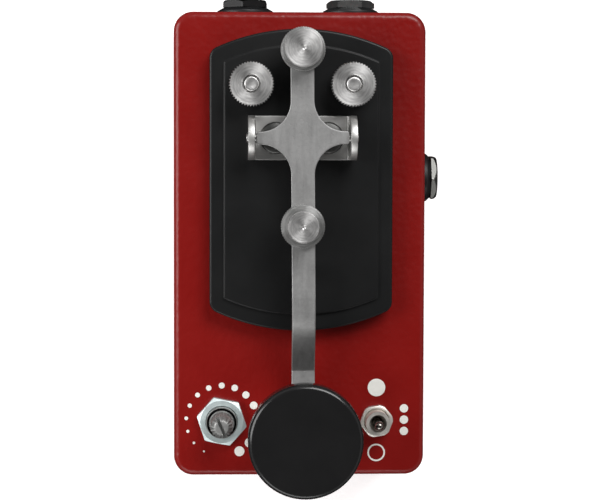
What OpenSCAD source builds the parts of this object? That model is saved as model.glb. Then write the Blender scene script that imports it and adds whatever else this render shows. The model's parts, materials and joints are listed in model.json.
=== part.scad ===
// Straight telegraph key built on a small die-cast practice oscillator box.
// Frame: origin at the centre of the box's resting face, +X right, +Y towards
// the jacks, +Z up. All sizes are millimetres.

/* [Box] */
// Length of the box at its foot
box_l = 121; // [119:0.5:124]
// Width of the box at its foot
box_w = 66; // [65:0.5:70]
// Height of the box with its cover
box_h = 39.3; // [38:0.1:42]
// Radius of the box's upright corners
box_r = 5; // [4:0.5:6]
// How far each side leans in over the full height
box_draft = 0.5; // [0.2:0.1:0.8]
// Thickness of the side walls
wall = 2; // [1.8:0.1:2.4]
// Thickness of the top panel
panel_t = 2.3; // [2:0.1:2.8]
// Thickness of the bottom cover
cover_t = 2.2; // [2:0.1:2.8]

/* [Jacks] */
// Distance between the two phone jacks
jack_pitch = 28; // [26:0.5:30]
// Height of every jack's axis above the resting face
jack_z = 21.3; // [20:0.1:23]
// Radius of a phone jack's bore
jack_bore_r = 3.25; // [3.2:0.01:3.4]
// Place of the power jack along the right wall
power_y = 17.2; // [14:0.1:20]
// Radius of the power jack's bore
power_bore_r = 2.85; // [2.8:0.01:3]

/* [Front controls] */
// Sideways distance of the pot and the toggle switch from the middle
control_x = 20.1; // [19:0.1:21.5]
// Place of the pot and the toggle switch along the box
control_y = -45.7; // [-47:0.1:-44]
// Height of the pot shaft's end above the panel
shaft_h = 12.7; // [10:0.1:16]
// Height of the toggle's tip above the panel
bat_h = 11.5; // [10:0.1:16]

/* [Key base] */
// Sideways place of the key on the panel
key_x = 0.2; // [-0.5:0.1:0.5]
// Width of the moulded base
base_w = 46.9; // [45:0.1:48]
// Back end of the moulded base
base_back_y = 55.4; // [54:0.1:56]
// Front end of the moulded base
base_front_y = -21.8; // [-24:0.1:-20]
// Radius of the bowed ends
base_end_r = 52; // [48:1:60]
// Height of the outer band
band_h = 5; // [4.5:0.1:5.5]
// Height of the raised deck
deck_h = 6; // [5.8:0.1:6.5]

/* [Lever] */
// Place of the pivot along the box
pivot_y = 27.6; // [27:0.1:28.4]
// Height of the pivot above the panel
pivot_h = 12.9; // [12.5:0.1:13.5]
// Width of the lever bar
lever_w = 5.9; // [5.6:0.1:6.6]
// Turn of the lever in its bracket, its front towards the toggle switch, in degrees
lever_lean = 0.5; // [0:0.1:1]
// Thickness of the lever
lever_t = 1.9; // [1.7:0.1:2]
// Distance from the pivot to each adjusting screw
screw_arm = 22.1; // [21:0.1:23]
// Distance from the pivot to the knob's axis
knob_arm = 75.4; // [74:0.1:77]
// How far the front of the lever drops below the rest of it
lever_drop = 7.2; // [6:0.1:7.6]
// Slope of the dropping part
lever_slope = 24; // [20:1:30]
// Diameter of the knob
knob_d = 28.8; // [26:0.1:30]
// Height of the knob's top above the panel
knob_top_h = 24; // [22:0.5:26]

/* [Terminals] */
// Distance between the two terminals
terminal_pitch = 25.7; // [24:0.1:27]
// Place of the terminals along the box
terminal_y = 41.1; // [40:0.1:42]
// Diameter of a terminal's thumb nut
thumb_d = 11.4; // [11:0.1:12]

/* [Hidden] */
$fn = 64;
eps = 0.01;
top_z = box_h;
panel_under_z = top_z - panel_t;
band_edge = 0.5;
key_place = [key_x, 0, top_z];

// Bottom fixings
box_edge = 1.6;
inner_edge = 0.8;
boss_r = 4.2;
boss_in = 5.1;
boss_x = box_w / 2 - boss_in;
boss_y = box_l / 2 - boss_in;
corner_in = boss_in + boss_r + 0.1;
cover_rim = 0.5;
cover_screw_r = 1.6;
cover_head_r = 3;
cover_screw_l = 12;

// Jacks and their nuts
jack_x = jack_pitch / 2;
jack_body = [15.8, 21, 13.4];
jack_thread_r = 4.7;
jack_hole_r = 4.8;
jack_out = 3.75;
jack_bore_l = 27;
jack_washer_r = 7.4;
jack_washer_t = 1.75;
jack_cone_r = 5.9;
jack_cone_h = 0.85;
jack_nut_af = 11.1;
jack_nut_t = 2;
jack_nut_turns = [24, -5];
jack_face_y = box_l / 2 - wall_lean(jack_z - jack_washer_r);
jack_inner_y = box_l / 2 - box_draft - wall;
power_thread_r = 3.95;
power_hole_r = 4.05;
power_body_r = 5;
power_body_l = 12;
power_out = 4.3;
power_bore_l = 9.5;
power_pin_r = 1.05;
power_washer_r = 6.4;
power_washer_t = 2.6;
power_cone_r = 5.3;
power_cone_h = 1.5;
power_nut_af = 11;
power_nut_t = 1.7;
power_nut_turn = 4;
power_face_x = box_w / 2 - wall_lean(jack_z - power_washer_r);
power_inner_x = box_w / 2 - box_draft - wall;

// Pot and toggle switch
pot_bush_r = 4;
pot_body_r = 8;
pot_body_t = 8.5;
pot_bush_h = 4.4;
pot_shaft_r = 3;
shaft_edge = 1.2;
shaft_neck_r = 2.8;
shaft_neck_h = 5.4;
shaft_slot_w = 1;
shaft_slot_turn = 114;
pot_spin_gap = 0.05;
pot_nut_af = 11.4;
pot_nut_t = 2.2;
pot_nut_turn = -11.5;
switch_bush_r = 3.1;
switch_bush_h = 6.2;
switch_body = [6.9, 12.7, 9.4];
switch_nut_af = 7.9;
switch_nut_r = 4.2;
switch_nut_t = 1.8;
switch_nut_turn = 9;
bat_ball_r = 1.35;
bat_seat_h = 2.4;
bat_tip_r = 1.15;
bat_root_r = 0.75;
bat_mouth_r = 2.25;

// Board
board = [46, 38, 1.6];
board_y = -30;
board_z = 22.4;

// Key base
base_corner_r = 3;
deck_side = 3.8;
deck_end = 4.3;
deck_corner_r = 0.8;
base_l = base_back_y - base_front_y;
base_mid_y = (base_back_y + base_front_y) / 2;
base_screw_x = 18.5;
base_screw_ys = [-11, 31];
base_screw_r = 1.5;
spring_pocket_r = 3.6;
spring_floor_h = 3.4;
strap_w = 5;
strap_t = 0.6;
strap_h = 0.9;

// Bracket
ear_span = 27.3;
ear_t = 1.6;
ear_r = 5.6;
ear_mid_h = 12;
bend_r = 2.2;
bracket_screw_x = 6.6;
bracket_screw_r = 1.4;
bracket_head_r = 4.1;
pin_r = 1.2;
pin_gap = 0.05;
pin_l = 4.6;
pin_out = 0.5;
pin_depth = 0.6;

// Lever
lever_bottom_h = pivot_h + pin_depth;
lever_top_h = lever_bottom_h + lever_t;
arm_tip_w = 3.2;
arm_tip_x = 11.6;
cross_r = 7.8;
pad_r = 5.4;
thread_r = 1.92;
thread_gap = 0.06;
bend_start = 39.5;
bend_high_r = 14;
bend_low_r = 2;
bend_steps = 6;
slope_l = (lever_drop - (bend_high_r + bend_low_r) * (1 - cos(lever_slope))) / sin(lever_slope);
bend_end = bend_start + (bend_high_r + bend_low_r) * sin(lever_slope) + slope_l * cos(lever_slope);
front_top_h = lever_top_h - lever_drop;
front_bottom_h = front_top_h - lever_t;
lever_tip = knob_arm + 4.4;

// Adjusting screws
ring_r = 5.6;
ring_t = 2;
gap_head_r = 4.8;
gap_head_t = 3.2;
gap_head_h = lever_top_h + 3.6;
gap_tip_h = 7.6;
anvil_r = 3;
anvil_t = 1.2;
tension_head_r = 4;
tension_head_t = 4;
tension_head_h = lever_top_h + 4.2;
tension_tip_h = 10.6;
cap_r = 3;
cap_t = 1;
cap_rim = 0.6;
spring_r = 2.3;
spring_wire_r = 0.3;
spring_turns = 5;

// Contacts
contact_arm = 33.6;
press_max = 1.6;
contact_r = 2;
contact_face_h = 11.9;
contact_left = 0.06;
fixed_top_h = contact_face_h - contact_arm * sin(press_max) - contact_left;

// Knob
knob_disc_t = 6.6;
knob_edge_r = 1.1;
knob_neck_r = 5.5;
knob_flare_r = 2.5;
knob_hole_r = 1.6;
knob_screw_l = 9;

// Terminals
terminal_x = terminal_pitch / 2;
stud_r = 1.9;
stud_gap = 0.06;
stud_top_h = 14;
stud_under = 7.5;
thumb_h = 5;
thumb_top_h = 14.1;
thumb_teeth = 47;
thumb_tooth = 0.3;
collar_r = 3.9;
insulator_r = 2.9;
insulator_hole_r = 3;
bush_flange_t = 0.8;
tag_t = 0.5;
stud_nut_af = 7;
stud_nut_t = 2.4;

// Wires, each a list of round points that the lead is bent through
wire_r = 0.6;
wire_sides = 8;
wire_steps = 4;
left_jack_lead = [[-19.5, 34.5, 24.9], [-21, 34.3, 25.2], [-23.5, 32, 27], [-26, 27, 30], [-27, 20, 31],
    [-27, 4, 30], [-25, -6, 29], [-22, -10, 27.5], [-20, -13, 26], [-20, -14, 24.2]];
right_jack_lead = [[19.5, 34.5, 24.9], [21, 34.3, 25.2], [23.5, 32.5, 27.5], [26, 27, 30.5], [26.5, 20, 31.5],
    [26.5, 10, 31.5], [25, -2, 30], [22, -9, 28], [20, -13, 26], [20, -14, 24.2]];
power_lead = [[18.1, 17.2, 21.3], [16.6, 17, 21.3], [14.8, 14.5, 21.6], [15, 9, 22.5], [17, 2, 24],
    [17, -6, 26], [16.5, -11, 26.5], [16, -13.6, 25.6], [16, -14, 24.2]];
left_key_lead = [[-18.2, 41.1, 35], [-19.8, 40.9, 34.9], [-22.5, 38, 34], [-24.5, 28, 33.5],
    [-24.5, 8, 33], [-22, -4, 31], [-18, -10, 28], [-16, -13.5, 26], [-16, -14, 24.2]];
right_key_lead = [[18.6, 41.1, 35], [20.2, 40.9, 34.9], [22.3, 38, 34.3], [23.2, 28, 33.8],
    [23, 8, 33.3], [19, -3, 31], [14, -10, 28], [12, -13.5, 26], [12, -14, 24.2]];

// ---- helpers ----

// How far an outer wall has leaned in at a height above the resting face
function wall_lean(z) = box_draft * (z - cover_t) / (top_z - box_edge - cover_t);

// Hexagonal nut standing on z = 0 with its top corners turned off
module hex_nut(af, t, bore_r) {
    cone_run = t / tan(30);
    difference() {
        intersection() {
            cylinder(d = af / cos(30), h = t, $fn = 6);
            cylinder(r1 = af / 2 + cone_run, r2 = af / 2, h = t);
        }
        translate([0, 0, -eps]) cylinder(r = bore_r, h = t + 2 * eps);
    }
}

// Flat ring standing on z = 0 with a broken top edge
module ring(outer_r, inner_r, t, edge) {
    rotate_extrude() polygon([[inner_r, 0], [outer_r, 0], [outer_r, t - edge], [outer_r - edge, t],
        [inner_r, t]]);
}

// Flat ring standing on z = 0 that narrows in a cone from a height up to its top
module cone_washer(inner_r, outer_r, cone_h, top_r, t) {
    rotate_extrude() polygon([[inner_r, 0], [outer_r, 0], [outer_r, cone_h], [top_r, t], [inner_r, t]]);
}

// Round bar standing on z = 0 with both ends broken by the same edge
module turned(r, h, edge) {
    rotate_extrude() polygon([[0, 0], [r - edge, 0], [r, edge], [r, h - edge], [r - edge, h], [0, h]]);
}

// Toothed outline of a straight knurl
module knurl(r, depth, teeth) {
    polygon([for (i = [0:2 * teeth - 1])
        let (a = 180 * i / teeth, rr = i % 2 == 0 ? r : r - depth) [rr * cos(a), rr * sin(a)]]);
}

// Box corner post: a disc at the foot and a rounded shoulder at the top
module corner_post(r, edge, low_z, high_z, lean) {
    translate([0, 0, low_z]) cylinder(r = r, h = eps, $fn = 32);
    translate([-lean, -lean, high_z - edge]) rotate_extrude($fn = 32) intersection() {
        union() {
            translate([r - edge, 0]) circle(r = edge, $fn = 32);
            square([r - edge, edge]);
        }
        square([r, edge]);
    }
}

// Leaning box with rounded upright corners and a rounded top edge
module leaning_box(size_x, size_y, r, edge, low_z, high_z, lean) {
    hull() for (sx = [-1, 1], sy = [-1, 1])
        scale([sx, sy, 1]) translate([size_x / 2 - r, size_y / 2 - r, 0])
            corner_post(r, edge, low_z, high_z, lean);
}

// Plate with straight sides and bowed ends, its corners rounded
module bowed_outline(w, l, end_r, corner_r) {
    cx = w / 2 - corner_r;
    arc_y = l / 2 - end_r;
    cy = arc_y + sqrt(pow(end_r - corner_r, 2) - cx * cx);
    dir = [cx, cy - arc_y] / (end_r - corner_r);
    reach = 4 * corner_r;
    difference() {
        intersection() {
            square([w, l], center = true);
            translate([0, arc_y]) circle(r = end_r, $fn = 180);
            translate([0, -arc_y]) circle(r = end_r, $fn = 180);
        }
        for (sx = [-1, 1], sy = [-1, 1]) scale([sx, sy])
            translate([cx, cy]) polygon([[0, 0], [reach, 0], [reach, reach], reach * dir]);
    }
    for (sx = [-1, 1], sy = [-1, 1]) translate([sx * cx, sy * cy]) circle(r = corner_r);
}

// Points of a smooth curve through a list of points
function spline_at(p, i, t) =
    let (a = p[max(i - 1, 0)], b = p[i], c = p[i + 1], d = p[min(i + 2, len(p) - 1)])
    0.5 * (2 * b + (c - a) * t + (2 * a - 5 * b + 4 * c - d) * t * t
        + (3 * b - a - 3 * c + d) * t * t * t);
function spline(p, steps) = concat(
    [for (i = [0:len(p) - 2], k = [0:steps - 1]) spline_at(p, i, k / steps)], [p[len(p) - 1]]);

// Round lead swept along a list of points
module lead(path, r) {
    n = len(path);
    m = wire_sides;
    points = [for (i = [0:n - 1]) let (
        t0 = path[min(i + 1, n - 1)] - path[max(i - 1, 0)],
        t = t0 / norm(t0),
        u0 = cross(t, [0.62, -0.25, 0.35]),
        u = u0 / norm(u0),
        v = cross(t, u))
        each [for (k = [0:m - 1]) path[i] + r * (cos(360 * k / m) * u + sin(360 * k / m) * v)]];
    faces = concat(
        [[for (k = [0:m - 1]) k]],
        [for (i = [0:n - 2], k = [0:m - 1]) each [
            [i * m + k, (i + 1) * m + (k + 1) % m, i * m + (k + 1) % m],
            [i * m + k, (i + 1) * m + k, (i + 1) * m + (k + 1) % m]]],
        [[for (k = [m - 1:-1:0]) (n - 1) * m + k]]);
    polyhedron(points, faces);
}

// Moves its children to the key's pivot line, on the panel
module at_pivot() {
    translate(key_place) translate([0, pivot_y, 0]) children();
}

// Places a copy at each phone jack, its axis along +Y and the outside wall face at y = 0
module at_jacks() {
    for (s = [-1, 1]) translate([s * jack_x, 0, jack_z]) children();
}

// Turns a shape that stands on z = 0 so that it points along +Y
module along_y() {
    rotate([-90, 0, 0]) children();
}

// Turns a shape that stands on z = 0 so that it points along +X
module along_x() {
    rotate([0, 90, 0]) children();
}

// ---- box ----

// Copies its children to the four screws at the box's corners
module at_corners() {
    for (sx = [-1, 1], sy = [-1, 1]) translate([sx * boss_x, sy * boss_y, 0]) children();
}

// Panel and corner bosses of the casting; the side walls between them are made apart
module casting() {
    difference() {
        union() {
            difference() {
                leaning_box(box_w, box_l, box_r, box_edge, cover_t, top_z, box_draft);
                leaning_box(box_w - 2 * wall, box_l - 2 * wall, box_r - wall, inner_edge,
                    cover_t - 1, panel_under_z, box_draft);
            }
            at_corners() translate([0, 0, cover_t]) cylinder(r = boss_r, h = panel_under_z - cover_t + eps);
        }
        at_corners() translate([0, 0, cover_t - eps]) cylinder(r = cover_screw_r, h = cover_screw_l);
        translate([0, 0, panel_under_z - 1]) {
            translate([-control_x, control_y, 0]) cylinder(r = pot_bush_r + 0.1, h = 5);
            translate([control_x, control_y, 0]) cylinder(r = switch_bush_r + 0.1, h = 5);
            for (s = [-1, 1]) translate([key_x + s * terminal_x, terminal_y, 0])
                cylinder(r = insulator_hole_r, h = 5);
            for (s = [-1, 1], y = base_screw_ys) translate([key_x + s * base_screw_x, y, 0])
                cylinder(r = base_screw_r + 0.1, h = 5);
        }
    }
}

module box_panel() {
    color("firebrick") intersection() {
        casting();
        translate([-box_w, -box_l, panel_under_z]) cube([2 * box_w, 2 * box_l, box_h]);
    }
}

// Side wall along Y that leans in, its outer foot at half from the middle
module side_wall(half, length) {
    lean = wall_lean(panel_under_z);
    rotate([90, 0, 0]) linear_extrude(length, center = true)
        polygon([[half - wall, cover_t], [half, cover_t], [half - lean, panel_under_z],
            [half - wall - lean, panel_under_z]]);
}

module box_left_wall() {
    color("firebrick") rotate(180) side_wall(box_w / 2, box_l - 2 * corner_in);
}

module box_right_wall() {
    color("firebrick") difference() {
        side_wall(box_w / 2, box_l - 2 * corner_in);
        translate([power_inner_x - 2, power_y, jack_z]) along_x() cylinder(r = power_hole_r, h = 8);
    }
}

module box_front_wall() {
    color("firebrick") rotate(-90) side_wall(box_l / 2, box_w - 2 * corner_in);
}

module box_back_wall() {
    color("firebrick") difference() {
        rotate(90) side_wall(box_l / 2, box_w - 2 * corner_in);
        at_jacks() translate([0, jack_inner_y - 2, 0]) along_y() cylinder(r = jack_hole_r, h = 8);
    }
}

module box_corners() {
    color("firebrick") intersection() {
        casting();
        for (sx = [-1, 1], sy = [-1, 1]) scale([sx, sy, 1])
            translate([box_w / 2 - corner_in, box_l / 2 - corner_in, 0])
                cube([corner_in, corner_in, panel_under_z]);
    }
}

module bottom_cover() {
    color("firebrick") difference() {
        hull() for (sx = [-1, 1], sy = [-1, 1])
            translate([sx * (box_w / 2 - box_r), sy * (box_l / 2 - box_r), 0]) {
                cylinder(r = box_r - cover_rim, h = cover_rim, $fn = 32);
                translate([0, 0, cover_rim]) cylinder(r = box_r, h = cover_t - cover_rim, $fn = 32);
            }
        at_corners() translate([0, 0, -eps]) {
            cylinder(r = cover_screw_r, h = cover_t + 1);
            cylinder(r1 = cover_head_r, r2 = cover_screw_r, h = cover_head_r - cover_screw_r);
        }
    }
}

module cover_screws() {
    cone_h = cover_head_r - cover_screw_r;
    r = cover_screw_r - 0.05;
    color("silver") at_corners() difference() {
        rotate_extrude() polygon([[0, 0.05], [cover_head_r - 0.1, 0.05], [r, cone_h], [r, cover_screw_l],
            [0, cover_screw_l]]);
        for (a = [0, 90]) rotate(a) translate([-1.8, -0.3, -eps]) cube([3.6, 0.6, 1]);
    }
}

// ---- jacks ----

module phone_jack(x) {
    bore_start = jack_face_y + jack_out - jack_bore_l;
    color("dimgray") translate([x, 0, jack_z]) difference() {
        union() {
            translate([-jack_body.x / 2, jack_inner_y - 0.2 - jack_body.y, -jack_body.z / 2])
                cube(jack_body);
            translate([0, jack_inner_y - 1, 0]) along_y()
                cylinder(r = jack_thread_r, h = jack_face_y + jack_out - jack_inner_y + 1);
        }
        translate([0, bore_start, 0]) along_y() cylinder(r = jack_bore_r, h = jack_bore_l + eps);
    }
}

module left_jack() { phone_jack(-jack_x); }

module right_jack() { phone_jack(jack_x); }

module jack_contacts() {
    lug = [0.6, 4.5, 2.4];
    color("lightgray") at_jacks() translate([0, jack_inner_y - 0.2 - jack_body.y, 0])
        for (x = [-5, 0, 5]) translate([x - lug.x / 2, -lug.y, 2.4]) difference() {
            cube(lug);
            translate([-eps, 1.4, lug.z / 2]) along_x() cylinder(r = 0.7, h = 1);
        }
}

module jack_washers() {
    color("black") at_jacks() translate([0, jack_face_y, 0]) along_y()
        cone_washer(jack_thread_r + 0.1, jack_washer_r, jack_cone_h, jack_cone_r, jack_washer_t);
}

module jack_nuts() {
    color("dimgray") for (i = [0, 1])
        translate([(2 * i - 1) * jack_x, jack_face_y + jack_washer_t, jack_z]) along_y()
            rotate(jack_nut_turns[i]) hex_nut(jack_nut_af, jack_nut_t, jack_thread_r + 0.05);
}

module power_jack() {
    mouth_x = power_face_x + power_out;
    color("dimgray") translate([0, power_y, jack_z]) difference() {
        union() {
            translate([power_inner_x - 0.2 - power_body_l, 0, 0]) along_x()
                cylinder(r = power_body_r, h = power_body_l);
            translate([power_inner_x - 1, 0, 0]) along_x()
                cylinder(r = power_thread_r, h = mouth_x - power_inner_x + 1);
        }
        translate([mouth_x - power_bore_l, 0, 0]) along_x()
            cylinder(r = power_bore_r, h = power_bore_l + 1);
    }
}

module power_jack_pin() {
    mouth_x = power_face_x + power_out;
    color("silver") translate([mouth_x - power_bore_l, power_y, jack_z]) along_x()
        turned(power_pin_r, power_bore_l - 0.8, 0.3);
}

module power_jack_washer() {
    color("black") translate([power_face_x, power_y, jack_z]) along_x()
        cone_washer(power_thread_r + 0.1, power_washer_r, power_cone_h, power_cone_r, power_washer_t);
}

module power_jack_nut() {
    color("silver") translate([power_face_x + power_washer_t, power_y, jack_z]) along_x()
        rotate(power_nut_turn) hex_nut(power_nut_af, power_nut_t, power_thread_r + 0.05);
}

// ---- pot and toggle ----

module speed_pot_body() {
    shaft_hole_r = shaft_neck_r + pot_spin_gap;
    pot_under = panel_under_z - top_z;
    color("gray") translate([-control_x, control_y, top_z]) difference() {
        union() {
            translate([0, 0, pot_under - 0.2 - pot_body_t]) cylinder(r = pot_body_r, h = pot_body_t);
            translate([0, 0, pot_under - 1]) cylinder(r = pot_bush_r, h = pot_bush_h - pot_under + 1);
            for (x = [-5, 0, 5]) translate([x - 0.5, pot_body_r - 2, pot_under - 1.6]) cube([1, 6, 0.5]);
            for (x = [-5, 0, 5])
                translate([x - 0.5, pot_body_r + 3.5, pot_under - 12]) cube([1, 0.5, 10.9]);
        }
        translate([0, 0, pot_under - 3]) cylinder(r = shaft_hole_r, h = 20);
    }
}

module speed_pot_shaft() {
    foot = panel_under_z - top_z - 2.8;
    color("silver") translate([-control_x, control_y, top_z]) difference() {
        union() {
            translate([0, 0, foot]) cylinder(r = shaft_neck_r, h = shaft_neck_h - foot + 1);
            translate([0, 0, shaft_neck_h])
                cylinder(r = pot_shaft_r, h = shaft_h - shaft_edge - shaft_neck_h);
            translate([0, 0, shaft_h - shaft_edge])
                cylinder(r1 = pot_shaft_r, r2 = pot_shaft_r - shaft_edge, h = shaft_edge);
        }
        rotate(shaft_slot_turn) translate([-4, -shaft_slot_w / 2, shaft_neck_h - 0.2])
            cube([8, shaft_slot_w, shaft_h]);
    }
}

module speed_pot_nut() {
    color("lightsteelblue") translate([-control_x, control_y, top_z]) rotate(pot_nut_turn)
        hex_nut(pot_nut_af, pot_nut_t, pot_bush_r + 0.05);
}

module toggle_body() {
    under = panel_under_z - top_z;
    color("gray") translate([control_x, control_y, top_z]) difference() {
        union() {
            translate([-switch_body.x / 2, -switch_body.y / 2, under - 0.2 - switch_body.z])
                cube(switch_body);
            translate([0, 0, under - 1]) cylinder(r = switch_bush_r, h = switch_bush_h - under + 1);
            for (y = [-4.7, 0, 4.7])
                translate([-0.4, y - 0.6, under - switch_body.z - 3.5]) cube([0.8, 1.2, 3.5]);
        }
        translate([0, 0, bat_seat_h]) sphere(r = bat_ball_r + 0.05);
        translate([0, 0, bat_seat_h]) cylinder(r1 = bat_ball_r + 0.05, r2 = bat_mouth_r,
            h = switch_bush_h - bat_seat_h + eps);
    }
}

module toggle_bat() {
    color("silver") translate([control_x, control_y, top_z]) {
        translate([0, 0, bat_seat_h]) sphere(r = bat_ball_r);
        translate([0, 0, bat_seat_h])
            cylinder(r1 = bat_root_r, r2 = bat_tip_r, h = bat_h - bat_seat_h - bat_tip_r);
        translate([0, 0, bat_h - bat_tip_r]) sphere(r = bat_tip_r);
    }
}

module toggle_nut() {
    color("silver") translate([control_x, control_y, top_z]) rotate(switch_nut_turn) intersection() {
        hex_nut(switch_nut_af, switch_nut_t, switch_bush_r + 0.05);
        cylinder(r = switch_nut_r, h = switch_nut_t);
    }
}

// ---- electronics ----

module circuit_board() {
    color("darkgreen") translate([-board.x / 2, board_y - board.y / 2, board_z]) difference() {
        cube(board);
        for (x = [3, board.x - 3]) translate([x, board.y - 8, -eps]) cylinder(r = 1.6, h = 3);
    }
}

module board_components() {
    under = board_z;
    color("black") translate([-8, -34, under - 4.3]) cube([9.5, 24, 4.2]);
    color("navy") for (x = [8, 16]) translate([x, -26, under - 7.1]) turned(2.9, 7, 0.3);
    color("tan") for (y = [-44, -40, -36]) translate([6, y, under - 2.5]) cube([6.4, 2.3, 2.4]);
    color("silver") translate([-19, -24, under - 3.6]) cube([4.6, 11, 3.5]);
    color("black") translate([-20, -44, under - 4.8]) cube([4.6, 3.6, 4.7]);
}

module hookup_wires() {
    paths = [left_jack_lead, right_jack_lead, power_lead, left_key_lead, right_key_lead];
    color("saddlebrown") for (path = paths) lead(spline(path, wire_steps), wire_r);
}

// ---- key base ----

module key_base() {
    deck_w = base_w - 2 * deck_side;
    deck_l = base_l - 2 * deck_end;
    color("black") translate(key_place) difference() {
        translate([0, base_mid_y, 0]) {
            linear_extrude(band_h - band_edge) bowed_outline(base_w, base_l, base_end_r, base_corner_r);
            linear_extrude(band_h) bowed_outline(base_w - 2 * band_edge, base_l - 2 * band_edge,
                base_end_r - band_edge, base_corner_r - band_edge);
            linear_extrude(deck_h) bowed_outline(deck_w, deck_l, base_end_r - deck_end, deck_corner_r);
        }
        for (s = [-1, 1]) translate([s * terminal_x, terminal_y, -5])
            cylinder(r = stud_r + stud_gap, h = 20);
        for (s = [-1, 1], y = base_screw_ys) translate([s * base_screw_x, y, -1])
            cylinder(r = base_screw_r, h = 5.4);
        for (s = [-1, 1]) translate([s * bracket_screw_x, pivot_y, -1])
            cylinder(r = bracket_screw_r, h = 9);
        translate([0, pivot_y - screw_arm, spring_floor_h]) cylinder(r = spring_pocket_r, h = 5);
        translate([0, pivot_y + screw_arm, deck_h - 3]) cylinder(r = 1.5, h = 5);
        translate([0, pivot_y - contact_arm, -1]) cylinder(r = 1.5, h = 9);
        strap_slots(strap_h + strap_t, 0.2);
    }
}

// Grooves for the straps under the base, or the straps themselves when grow is 0
module strap_slots(height, grow) {
    w = strap_w + 2 * grow;
    run_y = pivot_y - contact_arm;
    low = grow > 0 ? -eps : strap_h;
    h = height - low;
    // From the left terminal to the bracket's left screw
    translate([-terminal_x - w / 2, pivot_y - w / 2, low]) cube([w, terminal_y - pivot_y + w, h]);
    translate([-terminal_x - w / 2, pivot_y - w / 2, low]) cube([terminal_x - bracket_screw_x + w, w, h]);
    // From the right terminal to the fixed contact
    translate([terminal_x - w / 2, run_y - w / 2, low]) cube([w, terminal_y - run_y + w, h]);
    translate([-w / 2, run_y - w / 2, low]) cube([terminal_x + w, w, h]);
}

module contact_straps() {
    color("goldenrod") translate(key_place) difference() {
        strap_slots(strap_h + strap_t, 0);
        for (s = [-1, 1]) translate([s * terminal_x, terminal_y, -1]) cylinder(r = stud_r + 0.1, h = 9);
        translate([-bracket_screw_x, pivot_y, -1]) cylinder(r = bracket_screw_r + 0.1, h = 9);
        translate([0, pivot_y - contact_arm, -1]) cylinder(r = 1.6, h = 9);
    }
}

module base_screws() {
    head_h = panel_under_z - top_z;
    color("silver") for (s = [-1, 1], y = base_screw_ys)
        translate(key_place) translate([s * base_screw_x, y, 0]) difference() {
            union() {
                translate([0, 0, head_h - 0.05 - 1.8]) cylinder(r = 2.8, h = 1.8);
                translate([0, 0, head_h - 1]) cylinder(r = base_screw_r - 0.05, h = 1 - head_h + 4);
            }
            for (a = [0, 90]) rotate(a) translate([-1.7, -0.3, head_h - 2.5]) cube([3.4, 0.6, 1.5]);
        }
}

// ---- bracket and pivot ----

module pivot_bracket() {
    h = ear_mid_h + ear_r - deck_h;
    r_in = bend_r - ear_t;
    color("silver") at_pivot() translate([0, 0, deck_h]) difference() {
        intersection() {
            rotate([90, 0, 0]) linear_extrude(2 * ear_r, center = true) difference() {
                union() {
                    translate([-ear_span / 2, bend_r]) square([ear_span, h]);
                    translate([-ear_span / 2 + bend_r, 0]) square([ear_span - 2 * bend_r, h]);
                    for (s = [-1, 1]) translate([s * (ear_span / 2 - bend_r), bend_r]) circle(r = bend_r);
                }
                translate([-ear_span / 2 + ear_t, bend_r]) square([ear_span - 2 * ear_t, h]);
                translate([-ear_span / 2 + bend_r, ear_t]) square([ear_span - 2 * bend_r, h]);
                for (s = [-1, 1]) translate([s * (ear_span / 2 - bend_r), bend_r]) circle(r = r_in);
            }
            rotate([90, 0, 90]) linear_extrude(ear_span + 2, center = true) {
                translate([-ear_r, -eps]) square([2 * ear_r, ear_mid_h - deck_h + eps]);
                translate([0, ear_mid_h - deck_h]) circle(r = ear_r);
            }
        }
        translate([-ear_span, 0, pivot_h - deck_h]) along_x()
            cylinder(r = pin_r + pin_gap, h = 2 * ear_span);
        for (s = [-1, 1]) translate([s * bracket_screw_x, 0, -1])
            cylinder(r = bracket_screw_r + 0.1, h = 4);
    }
}

module bracket_screws() {
    plate_top = deck_h + ear_t;
    color("silver") at_pivot() for (s = [-1, 1]) translate([s * bracket_screw_x, 0, 0]) difference() {
        union() {
            translate([0, 0, plate_top]) turned(bracket_head_r, 1.5, 0.3);
            translate([0, 0, 0.1]) cylinder(r = bracket_screw_r, h = plate_top);
        }
        translate([-bracket_head_r - 1, -0.4, plate_top + 0.8]) cube([2 * bracket_head_r + 2, 0.8, 1]);
    }
}

module pivot_pins() {
    color("silver") at_pivot() translate([0, 0, pivot_h]) for (s = [-1, 1])
        translate([s * (ear_span / 2 + pin_out) - (s > 0 ? pin_l : 0), 0, 0])
            along_x() turned(pin_r, pin_l, 0.2);
}

// ---- lever ----

// Outline of the flat part of the lever, with the pivot at the origin
module lever_plan() {
    cross_x = lever_w / 2 + cross_r;
    cross_y = arm_tip_w / 2 + cross_r;
    translate([-lever_w / 2, -bend_start]) square([lever_w, bend_start + screw_arm]);
    difference() {
        square([2 * cross_x, 2 * cross_y], center = true);
        for (sx = [-1, 1], sy = [-1, 1]) translate([sx * cross_x, sy * cross_y]) circle(r = cross_r);
    }
    square([2 * arm_tip_x, arm_tip_w], center = true);
    for (s = [-1, 1]) translate([0, s * screw_arm]) circle(r = pad_r);
}

// One face of the front of the lever, seen from the side, offset from the top face
function front_line(off) = concat(
    [[-bend_start, lever_top_h - off]],
    [for (i = [1:bend_steps]) let (a = lever_slope * i / bend_steps)
        [-bend_start - (bend_high_r - off) * sin(a),
            lever_top_h - bend_high_r + (bend_high_r - off) * cos(a)]],
    [for (i = [bend_steps:-1:0]) let (a = lever_slope * i / bend_steps)
        [-bend_end + (bend_low_r + off) * sin(a), front_top_h + bend_low_r - (bend_low_r + off) * cos(a)]],
    [[-lever_tip, front_top_h - off]]);

function backwards(list) = [for (i = [len(list) - 1:-1:0]) list[i]];

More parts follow.
